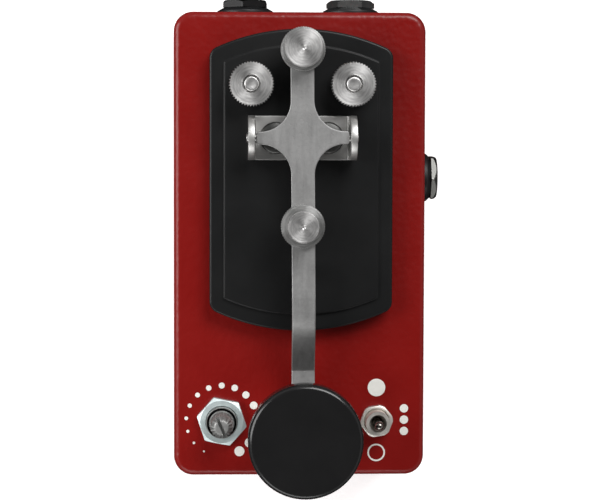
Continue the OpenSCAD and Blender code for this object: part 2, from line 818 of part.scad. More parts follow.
module key_lever() {
    color("silver") at_pivot() difference() {
        rotate(lever_lean) {
            translate([0, 0, lever_bottom_h]) linear_extrude(lever_t) lever_plan();
            rotate([90, 0, 90]) linear_extrude(lever_w, center = true)
                polygon(concat(front_line(0), backwards(front_line(lever_t))));
        }
        for (s = [-1, 1]) translate([0, s * screw_arm, 0]) cylinder(r = thread_r + thread_gap, h = 30);
        translate([0, -contact_arm, 0]) cylinder(r = 1, h = 30);
        rotate(lever_lean) translate([0, -knob_arm, 0]) cylinder(r = knob_hole_r + 0.1, h = 30);
        translate([-ear_span, 0, pivot_h]) along_x() cylinder(r = pin_r, h = 2 * ear_span);
    }
}

// Thumb screw with a knurled head, its thread reaching from tip_h up to the head
module thumb_screw(tip_h, head_h, head_r, head_t) {
    difference() {
        union() {
            translate([0, 0, head_h]) turned(head_r, head_t, 0.4);
            translate([0, 0, tip_h]) turned(thread_r, head_h - tip_h + 1, 0.3);
        }
        translate([0, 0, head_h + head_t - 0.25]) cylinder(r1 = 0.1, r2 = 0.4, h = 0.3);
    }
}

module gap_screw() {
    color("silver") at_pivot() translate([0, screw_arm, 0])
        thumb_screw(gap_tip_h, gap_head_h, gap_head_r, gap_head_t);
}

module gap_lock_nut() {
    color("silver") at_pivot() translate([0, screw_arm, lever_top_h + 0.05])
        ring(ring_r, thread_r + thread_gap, ring_t, 0.35);
}

module stop_anvil() {
    color("goldenrod") at_pivot() translate([0, screw_arm, deck_h]) {
        turned(anvil_r, anvil_t, 0.2);
        translate([0, 0, -3]) cylinder(r = 1.5, h = 3.2);
    }
}

module tension_screw() {
    color("silver") at_pivot() translate([0, -screw_arm, 0])
        thumb_screw(tension_tip_h, tension_head_h, tension_head_r, tension_head_t);
}

module tension_lock_nut() {
    color("silver") at_pivot() translate([0, -screw_arm, lever_top_h + 0.05])
        ring(ring_r, thread_r + thread_gap, ring_t, 0.35);
}

module spring_cap() {
    cap_h = tension_tip_h - 0.05 - cap_t;
    color("goldenrod") at_pivot() translate([0, -screw_arm, cap_h]) {
        turned(cap_r, cap_t, 0.2);
        translate([0, 0, -cap_rim]) cylinder(r = spring_r - spring_wire_r - 0.2, h = cap_rim + 0.1);
    }
}

module return_spring() {
    low = spring_floor_h + spring_wire_r + 0.02;
    high = tension_tip_h - 0.05 - cap_t - spring_wire_r - 0.02;
    rings = 14 * spring_turns;
    path = [for (i = [0:rings]) let (a = 360 * spring_turns * i / rings)
        [spring_r * cos(a), spring_r * sin(a), low + (high - low) * i / rings]];
    color("silver") at_pivot() translate([0, -screw_arm, 0]) lead(path, spring_wire_r);
}

module lever_contact() {
    color("lightgray") at_pivot() translate([0, -contact_arm, 0]) {
        translate([0, 0, contact_face_h]) turned(contact_r, lever_bottom_h - contact_face_h, 0.2);
        translate([0, 0, lever_bottom_h - 0.1]) cylinder(r = 1, h = lever_t);
    }
}

module fixed_contact() {
    color("lightgray") at_pivot() translate([0, -contact_arm, 0]) {
        translate([0, 0, fixed_top_h - 1.4]) turned(contact_r + 0.3, 1.4, 0.2);
        translate([0, 0, 0.1]) cylinder(r = 1.5, h = fixed_top_h - 1);
        translate([0, 0, deck_h]) rotate(30) cylinder(d = 5.5 / cos(30), h = 2, $fn = 6);
    }
}

// ---- knob ----

module knob() {
    disc_low = knob_top_h - knob_disc_t;
    knob_r = knob_d / 2;
    color("black") at_pivot() rotate(lever_lean) translate([0, -knob_arm, 0]) difference() {
        union() {
            rotate_extrude($fn = 96) {
                translate([0, disc_low + knob_edge_r]) square([knob_r, knob_disc_t - 2 * knob_edge_r]);
                translate([0, disc_low]) square([knob_r - knob_edge_r, knob_disc_t]);
                for (z = [disc_low + knob_edge_r, knob_top_h - knob_edge_r])
                    translate([knob_r - knob_edge_r, z]) circle(r = knob_edge_r);
            }
            rotate_extrude() difference() {
                translate([0, front_top_h]) square([knob_neck_r + knob_flare_r, disc_low - front_top_h]);
                translate([knob_neck_r + knob_flare_r, disc_low - knob_flare_r]) circle(r = knob_flare_r);
                translate([knob_neck_r, front_top_h - 1])
                    square([2 * knob_flare_r, disc_low - front_top_h - knob_flare_r + 1]);
            }
        }
        translate([0, 0, front_top_h - 1]) cylinder(r = knob_hole_r, h = knob_screw_l - lever_t + 1.5);
    }
}

module knob_screw() {
    color("silver") at_pivot() rotate(lever_lean) translate([0, -knob_arm, front_bottom_h]) difference() {
        union() {
            translate([0, 0, -2]) turned(2.9, 2, 0.4);
            translate([0, 0, -0.5]) cylinder(r = knob_hole_r - 0.02, h = knob_screw_l + 0.5);
        }
        for (a = [0, 90]) rotate(a) translate([-1.7, -0.3, -2.5]) cube([3.4, 0.6, 1.5]);
    }
}

// ---- terminals ----

module terminal_studs() {
    color("silver") translate(key_place) for (s = [-1, 1]) translate([s * terminal_x, terminal_y, 0]) {
        translate([0, 0, -stud_under]) turned(stud_r, stud_under + stud_top_h, 0.3);
        translate([0, 0, deck_h]) ring(4.4, stud_r, 1, 0.2);
    }
}

module terminal_bushes() {
    under = panel_under_z - top_z;
    color("white") translate(key_place) for (s = [-1, 1]) translate([s * terminal_x, terminal_y, 0]) {
        translate([0, 0, under - bush_flange_t]) ring(4.4, stud_r + 0.05, bush_flange_t, 0.2);
        translate([0, 0, under - eps]) ring(insulator_r, stud_r + 0.05, -under - 0.05, 0.2);
    }
}

module terminal_tags() {
    under = panel_under_z - top_z;
    color("lightgray") translate(key_place) for (s = [-1, 1]) translate([s * terminal_x, terminal_y, 0])
        translate([0, 0, under - bush_flange_t - tag_t]) linear_extrude(tag_t) difference() {
            union() {
                circle(r = 3.8);
                translate([s * 3.5, 0]) square([6, 2.6], center = true);
            }
            circle(r = stud_r + 0.1);
        }
}

module terminal_lock_nuts() {
    under = panel_under_z - top_z;
    color("silver") translate(key_place) for (s = [-1, 1])
        translate([s * terminal_x, terminal_y, under - bush_flange_t - 0.1 - tag_t - stud_nut_t])
            hex_nut(stud_nut_af, stud_nut_t, stud_r + 0.05);
}

module terminal_nut(s) {
    low = thumb_top_h - thumb_h;
    color("silver") translate(key_place) translate([s * terminal_x, terminal_y, 0]) difference() {
        union() {
            intersection() {
                translate([0, 0, low]) linear_extrude(thumb_h) knurl(thumb_d / 2, thumb_tooth, thumb_teeth);
                translate([0, 0, low]) turned(thumb_d / 2 + 0.1, thumb_h, 0.6);
            }
            translate([0, 0, deck_h + 1.1]) cylinder(r = collar_r, h = low - deck_h - 1);
        }
        translate([0, 0, deck_h]) cylinder(r = stud_r + stud_gap, h = 20);
        translate([0, 0, thumb_top_h - 0.5]) cylinder(r1 = stud_r + stud_gap, r2 = stud_r + 0.6, h = 0.51);
    }
}

module left_terminal_nut() { terminal_nut(-1); }

module right_terminal_nut() { terminal_nut(1); }

box_panel();
box_left_wall();
box_right_wall();
box_front_wall();
box_back_wall();
box_corners();
bottom_cover();
cover_screws();
left_jack();
right_jack();
jack_contacts();
jack_washers();
jack_nuts();
power_jack();
power_jack_pin();
power_jack_washer();
power_jack_nut();
speed_pot_body();
speed_pot_shaft();
speed_pot_nut();
toggle_body();
toggle_bat();
toggle_nut();
circuit_board();
board_components();
hookup_wires();
key_base();
base_screws();
pivot_bracket();
bracket_screws();
pivot_pins();
key_lever();
gap_screw();
gap_lock_nut();
stop_anvil();
tension_screw();
tension_lock_nut();
spring_cap();
return_spring();
lever_contact();
fixed_contact();
knob();
knob_screw();
terminal_studs();
terminal_bushes();
terminal_tags();
terminal_lock_nuts();
left_terminal_nut();
right_terminal_nut();
contact_straps();
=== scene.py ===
"""Looks of the straight telegraph key on its red die-cast box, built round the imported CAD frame.

Shapes are built in millimetres, and to_mesh turns them into metres. Lights, camera and
materials are in metres.
"""
from math import asin, atan2, copysign, cos, degrees, pi, radians, sin, sqrt, tan

import bmesh
import bpy
from mathutils import Matrix, Vector
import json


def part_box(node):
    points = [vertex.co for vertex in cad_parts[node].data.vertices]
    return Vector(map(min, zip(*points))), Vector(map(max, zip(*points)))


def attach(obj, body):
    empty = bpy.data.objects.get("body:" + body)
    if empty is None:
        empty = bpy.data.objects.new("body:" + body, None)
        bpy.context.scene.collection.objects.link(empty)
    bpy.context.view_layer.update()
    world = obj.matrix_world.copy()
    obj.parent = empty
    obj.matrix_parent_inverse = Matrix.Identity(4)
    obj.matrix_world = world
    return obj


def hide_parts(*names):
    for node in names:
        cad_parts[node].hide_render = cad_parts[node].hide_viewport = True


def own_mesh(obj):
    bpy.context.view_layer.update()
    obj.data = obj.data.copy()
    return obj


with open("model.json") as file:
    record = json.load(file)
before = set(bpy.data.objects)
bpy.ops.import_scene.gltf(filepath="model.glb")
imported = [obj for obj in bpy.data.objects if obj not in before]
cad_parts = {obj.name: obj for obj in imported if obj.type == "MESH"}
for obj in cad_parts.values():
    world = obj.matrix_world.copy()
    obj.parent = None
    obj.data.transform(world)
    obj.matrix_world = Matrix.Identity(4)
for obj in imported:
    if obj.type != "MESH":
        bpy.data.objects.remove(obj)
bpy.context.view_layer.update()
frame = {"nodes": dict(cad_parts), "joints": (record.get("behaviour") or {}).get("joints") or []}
NODES = frame["nodes"]
JOINTS = {j["name"]: j for j in frame["joints"]}
MM = 0.001
TAU = 2 * pi
RIGHT, BACK, UP = Vector((1, 0, 0)), Vector((0, 1, 0)), Vector((0, 0, 1))


# ---- places taken from the frame, in millimetres

def box(node):
    return [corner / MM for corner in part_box(node)]


def low(node):
    return box(node)[0]


def high(node):
    return box(node)[1]


def mid(node):
    a, b = box(node)
    return (a + b) / 2


def span(node):
    a, b = box(node)
    return b - a


def joint_point(name):
    return Vector(JOINTS[name]["pos_m"]) / MM


PANEL_Z = high("box_panel").z
COVER_TOP = high("bottom_cover").z
DECK_Z = high("key_base").z
PIVOT = joint_point("lever_press")
REAR = joint_point("gap_screw_turn")
MIDDLE = joint_point("tension_screw_turn")
LEFT_POST = joint_point("left_terminal_turn")
RIGHT_POST = joint_point("right_terminal_turn")
POT = joint_point("speed_turn")
SWITCH = joint_point("toggle_tilt")


# ---- mesh helpers

def to_mesh(name, bm, angle=32):
    """Finished mesh in metres, smooth but for edges above an angle in degrees."""
    bmesh.ops.recalc_face_normals(bm, faces=bm.faces)
    bmesh.ops.scale(bm, vec=(MM, MM, MM), verts=bm.verts)
    mesh = bpy.data.meshes.new(name)
    bm.to_mesh(mesh)
    bm.free()
    smooth(mesh, angle)
    return mesh


def smooth(mesh, angle=32):
    """Smooth shading with edges kept crisp above an angle in degrees."""
    mesh.polygons.foreach_set("use_smooth", [True] * len(mesh.polygons))
    mesh.set_sharp_from_angle(angle=radians(angle))


def new_object(name, bm, material, body="root", angle=32):
    """Makes a piece, with its finish and the body it rides on."""
    mesh = to_mesh(name, bm, angle)
    mesh.materials.append(MAT[material])
    obj = bpy.data.objects.new(name, mesh)
    bpy.context.scene.collection.objects.link(obj)
    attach(obj, body)
    return obj


def add_loft(bm, rings, closed=False):
    """Quads between rings of equal length, capped, or closed from the last ring to the first."""
    loops = [[bm.verts.new(p) for p in ring] for ring in rings]
    pairs = list(zip(loops, loops[1:]))
    if closed:
        pairs.append((loops[-1], loops[0]))
    for a, b in pairs:
        n = len(a)
        for i in range(n):
            bm.faces.new((a[i], a[(i + 1) % n], b[(i + 1) % n], b[i]))
    if not closed:
        bm.faces.new(loops[0][::-1])
        bm.faces.new(loops[-1])


def add_lathe(bm, profile, segments=96, centre=(0, 0, 0), wobble=None, hole=False):
    """Turns (radius, height, knurl weight) points round +Z; wobble gives the knurl by angle."""
    cx, cy, cz = centre
    rings = []
    for r, z, *weight in profile:
        ring = []
        for i in range(segments):
            a = TAU * i / segments
            rr = r + (weight[0] * wobble(a) if weight else 0)
            ring.append((cx + rr * cos(a), cy + rr * sin(a), cz + z))
        rings.append(ring)
    add_loft(bm, rings, closed=hole)


def arc(cx, cy, r, start, end, steps=5):
    """Points of an arc, its angles in degrees."""
    return [(cx + r * cos(radians(start + (end - start) * i / steps)),
             cy + r * sin(radians(start + (end - start) * i / steps))) for i in range(steps + 1)]


def quarter(steps):
    """Pairs of 1 - cosine and 1 - sine through a quarter turn, for rounding an edge."""
    angles = [pi / 2 * i / steps for i in range(steps + 1)]
    return [(1 - cos(a), 1 - sin(a)) for a in angles]


def merge(bm, part):
    """Adds one mesh in the making to another."""
    mesh = bpy.data.meshes.new("part")
    part.to_mesh(mesh)
    part.free()
    bm.from_mesh(mesh)
    bpy.data.meshes.remove(mesh)


def turn_to(bm, axis, at):
    """Turns a mesh made along +Z at the origin so that it points along an axis, and moves it."""
    rotation = UP.rotation_difference(axis).to_matrix().to_4x4()
    bmesh.ops.transform(bm, matrix=Matrix.Translation(at) @ rotation, verts=bm.verts)


def outline_inset(outline):
    """Function that moves a closed outline inwards by a distance, along its corners' bisectors."""
    n = len(outline)
    area = sum(outline[i][0] * outline[(i + 1) % n][1] - outline[(i + 1) % n][0] * outline[i][1]
               for i in range(n))
    turn = 1 if area > 0 else -1
    shifts = []
    for i in range(n):
        p, q, s = Vector(outline[i - 1]), Vector(outline[i]), Vector(outline[(i + 1) % n])
        a, b = (q - p).normalized(), (s - q).normalized()
        m = (Vector((-a.y, a.x)) + Vector((-b.y, b.x))) * turn
        shifts.append(m / max(m.length_squared / 2, 0.35))
    return lambda d: [(q[0] + m.x * d, q[1] + m.y * d) for q, m in zip(outline, shifts)]


def add_plate(bm, outline, z_low, z_high, edge):
    """Flat plate with rims rounded by edge; a ring inside each rim keeps its shading off the flat."""
    inset = outline_inset(outline)

    def ring(d, z):
        return [(x, y, z) for x, y in inset(d)]

    def rim(z, way):
        return [ring(edge * s, z + way * edge * c) for c, s in quarter(3)]

    border = edge + 0.25
    add_loft(bm, [ring(border, z_low)] + rim(z_low, 1) + rim(z_high, -1)[::-1] + [ring(border, z_high)])


def slice_mesh(bm, axis, places):
    """Cuts every face along planes across an axis, so that the mesh can bend there."""
    for place in places:
        bmesh.ops.bisect_plane(bm, geom=bm.verts[:] + bm.edges[:] + bm.faces[:], dist=1e-4,
                               plane_co=axis * place, plane_no=axis)


def cut(obj, cutters):
    """Cuts the shapes in a bmesh out of an object, exactly."""
    cutter_mesh = to_mesh("cutter", cutters)
    tool = bpy.data.objects.new("cutter", cutter_mesh)
    bpy.context.scene.collection.objects.link(tool)
    modifier = obj.modifiers.new("cut", "BOOLEAN")
    modifier.operation = "DIFFERENCE"
    modifier.solver = "EXACT"
    modifier.object = tool
    bpy.context.view_layer.update()
    graph = bpy.context.evaluated_depsgraph_get()
    mesh = bpy.data.meshes.new_from_object(obj.evaluated_get(graph))
    obj.modifiers.clear()
    old = obj.data
    obj.data = mesh
    bpy.data.meshes.remove(old)
    bpy.data.objects.remove(tool)
    bpy.data.meshes.remove(cutter_mesh)
    smooth(mesh)


def drill(obj, holes, segments=64):
    """Drills round holes, each (start, axis, radius, length) and perhaps a countersink's size."""
    cutters = bmesh.new()
    for start, axis, radius, length, *sink in holes:
        part = bmesh.new()
        profile = [(radius, 0), (radius, length)]
        for size in sink:
            profile = [(radius, 0), (radius, length - 2 * size), (radius + size, length - size),
                       (radius + size, length)]
        add_lathe(part, profile, segments)
        turn_to(part, axis, start)
        merge(cutters, part)
    cut(obj, cutters)


def add_block(bm, centre, angle, size):
    """A cutter's block, turned about Z by an angle in radians."""
    bmesh.ops.create_cube(bm, size=1, matrix=Matrix.Translation(centre) @ Matrix.Rotation(angle, 4, "Z")
                          @ Matrix.Diagonal((*size, 1)))


# ---- materials

def set_stops(ramp, stops):
    """Gives a colour ramp its greys, each (place, value)."""
    elements = ramp.color_ramp.elements
    while len(elements) < len(stops):
        elements.new(0.5)
    for element, (where, value) in zip(elements, stops):
        element.position = where
        element.color = (value, value, value, 1)


class Nodes:
    """A short way to build a material's node tree."""

    def __init__(self, name):
        self.material = bpy.data.materials.new(name)
        self.material.use_nodes = True
        self.tree = self.material.node_tree
        self.tree.nodes.clear()
        self.shader = self.add("ShaderNodeBsdfPrincipled")
        self.add("ShaderNodeOutputMaterial", {"Surface": self.shader.outputs["BSDF"]})
        places = self.add("ShaderNodeTexCoord").outputs
        self.place, self.share = places["Object"], places["Generated"]

    def add(self, kind, inputs=(), **values):
        """Adds a node; its inputs get numbers, colours or the outputs that feed them."""
        node = self.tree.nodes.new(kind)
        for key, value in values.items():
            setattr(node, key, value)
        for key, value in dict(inputs).items():
            socket = node.inputs[key]
            if isinstance(value, bpy.types.NodeSocket):
                self.tree.links.new(value, socket)
            else:
                socket.default_value = (*value, 1) if socket.type == "RGBA" else value
        return node

    def set(self, **values):
        for key, value in values.items():
            self.shader.inputs[key.replace("_", " ")].default_value = value

    def into(self, value, socket):
        self.tree.links.new(value, self.shader.inputs[socket])

    def noise(self, scale, detail, roughness, stretch=None):
        place = self.place
        if stretch:
            place = self.add("ShaderNodeMapping", {"Vector": place, "Scale": stretch}).outputs[0]
        return self.add("ShaderNodeTexNoise", {"Vector": place, "Scale": scale, "Detail": detail,
                                               "Roughness": roughness}).outputs["Fac"]

    def ramp(self, value, stops):
        node = self.add("ShaderNodeValToRGB", {"Fac": value})
        set_stops(node, stops)
        return node.outputs["Color"]

    def math(self, operation, a, b):
        return self.add("ShaderNodeMath", {0: a, 1: b}, operation=operation).outputs[0]

    def vector(self, operation, *values, out="Vector"):
        return self.add("ShaderNodeVectorMath", enumerate(values), operation=operation).outputs[out]

    def mix(self, fac, a, b):
        return self.add("ShaderNodeMix", {0: fac, 6: a, 7: b}, data_type="RGBA").outputs[2]

    def bump(self, height, strength, distance):
        node = self.add("ShaderNodeBump", {"Height": height, "Strength": strength, "Distance": distance})
        self.into(node.outputs[0], "Normal")

    def range(self, value, low_out, high_out):
        return self.add("ShaderNodeMapRange", {"Value": value, "To Min": low_out,
                                               "To Max": high_out}).outputs[0]


def red_paint():
    """Gloss enamel with the shallow dimples of a hammered powder coat."""
    n = Nodes("red_paint")
    tint = n.noise(90, 2, 0.5)
    n.into(n.mix(tint, (0.175, 0.0038, 0.0028), (0.215, 0.005, 0.0036)), "Base Color")
    warp = n.noise(420, 2, 0.5).node.outputs["Color"]
    warped = n.vector("MULTIPLY_ADD", warp, (0.0012, 0.0012, 0.0012), n.place)
    cells = n.add("ShaderNodeTexVoronoi", {"Vector": warped, "Scale": 620, "Smoothness": 0.6},
                  feature="SMOOTH_F1")
    fine = n.math("MULTIPLY", n.noise(2600, 2, 0.5), 0.08)
    n.bump(n.math("ADD", cells.outputs["Distance"], fine), 0.13, 0.0006)
    n.into(n.range(tint, 0.26, 0.36), "Roughness")
    n.set(Specular_IOR_Level=0.35)
    return n.material


def lever_steel():
    """Tumbled steel: satin grey with small pits and soft streaks along the bar."""
    n = Nodes("lever_steel")
    cloud = n.noise(160, 5, 0.65)
    speck = n.noise(1200, 3, 0.7)
    streak = n.noise(900, 2, 0.5, (1, 0.12, 1))
    blend = n.math("ADD", n.math("MULTIPLY", cloud, 0.55), n.math("MULTIPLY", speck, 0.45))
    n.into(n.mix(blend, (0.2, 0.198, 0.196), (0.56, 0.556, 0.55)), "Base Color")
    n.into(n.range(streak, 0.42, 0.6), "Roughness")
    pits = n.ramp(speck, ((0.3, 0), (0.42, 1)))
    n.bump(n.math("ADD", pits, n.math("MULTIPLY", streak, 0.6)), 0.4, 0.00004)
    n.set(Metallic=1.0)
    return n.material


def turned_steel(name, tone):
    """Lathe-turned plated steel: fine rings round the piece's own middle and a radial sheen."""
    n = Nodes(name)
    flat = n.vector("MULTIPLY", n.vector("SUBTRACT", n.share, (0.5, 0.5, 0)), (1, 1, 0))
    distance = n.vector("LENGTH", flat, out="Value")
    rings = n.add("ShaderNodeTexNoise", {"W": distance, "Scale": 85, "Detail": 3},
                  noise_dimensions="1D").outputs["Fac"]
    cloud = n.noise(500, 3, 0.6)
    split = n.add("ShaderNodeSeparateXYZ", {0: flat}).outputs
    turn = n.math("ARCTAN2", split["Y"], split["X"])
    polar = n.add("ShaderNodeCombineXYZ", {0: n.math("MULTIPLY", distance, 26),
                                           1: n.math("MULTIPLY", turn, 1.6)}).outputs[0]
    streak = n.add("ShaderNodeTexNoise", {"Vector": polar, "Scale": 1, "Detail": 3}).outputs["Fac"]
    marks = n.ramp(streak, ((0.34, 0), (0.62, 1)))
    blend = n.math("ADD", n.math("MULTIPLY", cloud, 0.25),
                   n.math("ADD", n.math("MULTIPLY", rings, 0.3), n.math("MULTIPLY", marks, 0.5)))
    n.into(n.mix(blend, tuple(c * 0.5 for c in tone), tone), "Base Color")
    n.bump(rings, 0.35, 0.00005)
    n.into(n.add("ShaderNodeTangent", direction_type="RADIAL", axis="Z").outputs[0], "Tangent")
    n.into(n.range(cloud, 0.34, 0.46), "Roughness")
    n.set(Metallic=1.0, Anisotropic=0.6, Anisotropic_Rotation=0.25)
    return n.material


def board_laminate():
    """Green solder mask over copper tracks."""
    n = Nodes("board_laminate")
    tracks = n.add("ShaderNodeTexBrick", {
        "Vector": n.place, "Scale": 180, "Mortar Size": 0.09, "Color1": (0.01, 0.1, 0.035),
        "Color2": (0.012, 0.12, 0.045), "Mortar": (0.03, 0.2, 0.07)}).outputs
    n.into(tracks["Color"], "Base Color")
    n.bump(tracks["Fac"], 0.2, 0.00005)
    n.into(n.range(n.noise(300, 2, 0.5), 0.25, 0.4), "Roughness")
    return n.material


def cloudy(name, dark, light, rough, cloud, grain, strength, depth, **sockets):
    """Tone and roughness that drift with one noise, over the bumps of a finer one."""
    n = Nodes(name)
    patch = n.noise(*cloud)
    n.into(n.mix(patch, dark, light), "Base Color")
    n.into(n.range(patch, *rough), "Roughness")
    n.bump(n.noise(*grain), strength, depth)
    n.set(**sockets)
    return n.material


def plain_metal(name, tone, rough=(0.25, 0.4), bump=0.12, scale=700, stretch=None):
    """Metal with a cloudy finish and fine scratches."""
    return cloudy(name, tuple(c * 0.72 for c in tone), tone, rough, (scale, 4, 0.6, stretch),
                  (scale * 6, 2, 0.5), bump, 0.00004, Metallic=1.0)


def plain_plastic(name, tone, rough=(0.4, 0.55)):
    """Moulded plastic or lacquer with slight colour drift and fine grain."""
    return cloudy(name, tuple(c * 0.8 for c in tone), tone, rough, (400, 3, 0.6),
                  (3200, 2, 0.5), 0.15, 0.00005)


MAT = {
    "red": red_paint(),
    # Moulded ABS with a spark-eroded grain, and phenolic, turned and polished
    "base": cloudy("base_plastic", (0.0052, 0.0054, 0.0056), (0.0094, 0.0095, 0.0097), (0.3, 0.42),
                   (60, 4, 0.6), (4200, 2, 0.6), 0.25, 0.00006, Specular_IOR_Level=0.3),
    "knob": cloudy("knob_plastic", (0.0075, 0.0074, 0.0076), (0.0115, 0.0113, 0.0115), (0.16, 0.24),
                   (110, 4, 0.6), (2600, 3, 0.6), 0.12, 0.00005, Specular_IOR_Level=0.5),
    "ink": cloudy("print_ink", (0.72, 0.71, 0.66), (0.84, 0.83, 0.79), (0.45, 0.6), (700, 3, 0.6),
                  (3000, 2, 0.5), 0.15, 0.00003),
    "lever": lever_steel(),
    "turned": turned_steel("turned_steel", (0.79, 0.78, 0.77)),
    "stud": turned_steel("stud_steel", (0.8, 0.79, 0.78)),
    # The ring nuts' steel is the turned steel made darker: painted shade of the thumb-screw heads above
    # them
    "ring": turned_steel("shaded_ring_steel", (0.68, 0.68, 0.67)),
    "bracket": plain_metal("bracket_steel", (0.66, 0.652, 0.636), (0.38, 0.5), scale=500,
                           stretch=(0.3, 1, 1)),
    "zinc": plain_metal("zinc_plate", (0.8, 0.9, 0.9), (0.48, 0.6), scale=300),
    "nickel": plain_metal("nickel_plate", (0.9, 0.86, 0.8), (0.42, 0.54), scale=500),
    # Nickel darkened and warmed for the toggle bushing: painted shade of its deep mouth, over a smoother
    # finish than the nut's
    "shaded_nickel": plain_metal("shaded_nickel", (0.66, 0.61, 0.56), (0.18, 0.32), 0.3, 900),
    "chrome": plain_metal("chrome_plate", (0.2, 0.2, 0.19), (0.3, 0.4), scale=400),
    "gunmetal": plain_metal("gunmetal", (0.8, 0.8, 0.79), (0.16, 0.28), scale=400),
    "bat": plain_metal("bat_steel", (0.36, 0.33, 0.3), (0.12, 0.22), scale=400),
    # The pan screws' steel is the screw steel made near black: painted shade of the lever over them
    "pan": plain_metal("shaded_pan_steel", (0.11, 0.11, 0.107), (0.36, 0.46)),
    "screw": plain_metal("screw_steel", (0.5, 0.5, 0.49), (0.28, 0.42)),
    "bushing": plain_metal("bushing_metal", (0.85, 0.88, 0.89), (0.48, 0.58)),
    "pot": plain_metal("pot_metal", (0.46, 0.46, 0.45), (0.42, 0.56), 0.3, 900),
    # Near-black metal; on the left phone nut it is painted dark reflection, as the right nut, the same
    # part, is bright
    "dark": plain_metal("dark_metal", (0.03, 0.03, 0.03), (0.3, 0.45)),
    "brass": plain_metal("brass", (0.66, 0.47, 0.2), (0.24, 0.4)),
    "silver": plain_metal("contact_silver", (0.7, 0.69, 0.66), (0.2, 0.35)),
    "spring": plain_metal("spring_steel", (0.4, 0.4, 0.4), (0.25, 0.4)),
    "black": plain_plastic("black_plastic", (0.006, 0.006, 0.0065)),
    "wire": plain_plastic("wire_skin", (0.16, 0.05, 0.02), (0.35, 0.5)),
    "nylon": plain_plastic("nylon", (0.7, 0.7, 0.66)),
    "parts": plain_plastic("component_black", (0.03, 0.03, 0.035)),
    "board": board_laminate(),
}

# Every CAD node's finish; the nodes that a detailed piece replaces are hidden later
NODE_FINISH = {
    "red": "box_panel box_left_wall box_right_wall box_front_wall box_back_wall box_corners bottom_cover",
    "screw": "cover_screws base_screws bracket_screws pivot_pins knob_screw terminal_lock_nuts",
    "black": "left_jack right_jack jack_washers power_jack_washer",
    "silver": "jack_contacts power_jack_pin lever_contact fixed_contact terminal_tags",
    "dark": "jack_nuts power_jack",
    "nickel": "power_jack_nut toggle_body toggle_bat toggle_nut",
    "pot": "speed_pot_body speed_pot_shaft",
    "zinc": "speed_pot_nut",
    "board": "circuit_board",
    "parts": "board_components",
    "wire": "hookup_wires",
    "base": "key_base",
    "bracket": "pivot_bracket",
    "lever": "key_lever",
    "turned": "gap_screw gap_lock_nut tension_screw tension_lock_nut left_terminal_nut right_terminal_nut",
    "brass": "stop_anvil spring_cap contact_straps",
    "spring": "return_spring",
    "knob": "knob",
    "stud": "terminal_studs",
    "nylon": "terminal_bushes",
}
for finish, names in NODE_FINISH.items():
    for node_name in names.split():
        slots = NODES[node_name].data.materials
        slots.clear()
        slots.append(MAT[finish])


# ---- outlines

def rounded_rectangle(half_x, half_y, r, steps=12):
    points = []
    for sx, sy, start in ((1, 1, 0), (-1, 1, 90), (-1, -1, 180), (1, -1, 270)):
        points += arc(sx * (half_x - r), sy * (half_y - r), r, start, start + 90, steps)
    return points


def bowed_outline(w, l, end_r, corner_r, end_steps=28, corner_steps=8):
    """Straight sides, bowed ends and rounded corners, centred on the origin."""
    cx = w / 2 - corner_r
    arc_y = l / 2 - end_r
    cy = arc_y + sqrt((end_r - corner_r) ** 2 - cx ** 2)
    lean = degrees(atan2(cy - arc_y, cx))
    corner = arc(cx, cy, corner_r, 0, lean, corner_steps)
    bow = arc(0, arc_y, end_r, lean, 180 - lean, end_steps)[1:-1]
    top = corner + bow + [(-x, y) for x, y in corner[::-1]]
    return top + [(-x, -y) for x, y in top]


# ---- box

BOX_R = 5
BOX_EDGE = 1.6
WALL = 2
PANEL_T = 2.3
DRAFT = 0.5
FOOT_HALF = span("bottom_cover") / 2
SCREW_INSET = 5.1
SCREW_HOLE_R = 1.6
COVER_SCREWS = [(sx * (FOOT_HALF.x - SCREW_INSET), sy * (FOOT_HALF.y - SCREW_INSET))
                for sx in (-1, 1) for sy in (-1, 1)]


def box_ring(inset, z, lean=0.0, steps=12):
    """The box's outline at a height, moved in by inset and by the lean of its walls."""
    return [(x, y, z) for x, y in rounded_rectangle(
        FOOT_HALF.x - lean - inset, FOOT_HALF.y - lean - inset, max(BOX_R - inset, 0.6), steps)]


def enclosure():
    """Die-cast shell: leaning walls, soft shoulders, a real cavity and drilled, eased holes."""
    height = PANEL_Z - COVER_TOP
    ceiling = PANEL_Z - PANEL_T

    def ring(inset, z):
        return box_ring(inset, z, DRAFT * (z - COVER_TOP) / (height - BOX_EDGE), 14)

    inner = [ring(WALL + 1, ceiling), ring(WALL + 0.3, ceiling - 0.3), ring(WALL, ceiling - 1),
             ring(WALL, COVER_TOP)]
    outer = [ring(0.15, COVER_TOP), ring(0, COVER_TOP + 0.15)]
    outer += [ring(0, COVER_TOP + height * k / 6) for k in range(1, 6)]
    outer += [ring(BOX_EDGE * c, PANEL_Z - BOX_EDGE * s) for c, s in quarter(8)]
    bm = bmesh.new()
    add_loft(bm, inner + outer + [ring(BOX_EDGE + 0.5, PANEL_Z)])
    obj = new_object("enclosure", bm, "red")
    deep, through = ceiling - 2, PANEL_T + 2 + 0.25
    inside, outside = 6, 8
    pot_r, switch_r, post_r, jack_r, power_r = 4.1, 3.2, 3, 4.8, 4.05
    holes = []
    for node, r in (("speed_pot_nut", pot_r), ("toggle_nut", switch_r)):
        c = mid(node)
        holes.append(((c.x, c.y, deep), UP, r, through + 0.05, 0.25))
    for post in (LEFT_POST, RIGHT_POST):
        holes.append(((post.x, post.y, deep), UP, post_r, through, 0.2))
    for node in ("left_jack", "right_jack"):
        c = mid(node)
        holes.append(((c.x, FOOT_HALF.y - inside, c.z), BACK, jack_r, outside))
    c = mid("power_jack")
    holes.append(((FOOT_HALF.x - inside, c.y, c.z), RIGHT, power_r, outside))
    drill(obj, holes)
    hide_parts("box_panel", "box_left_wall", "box_right_wall", "box_front_wall", "box_back_wall",
                "box_corners")


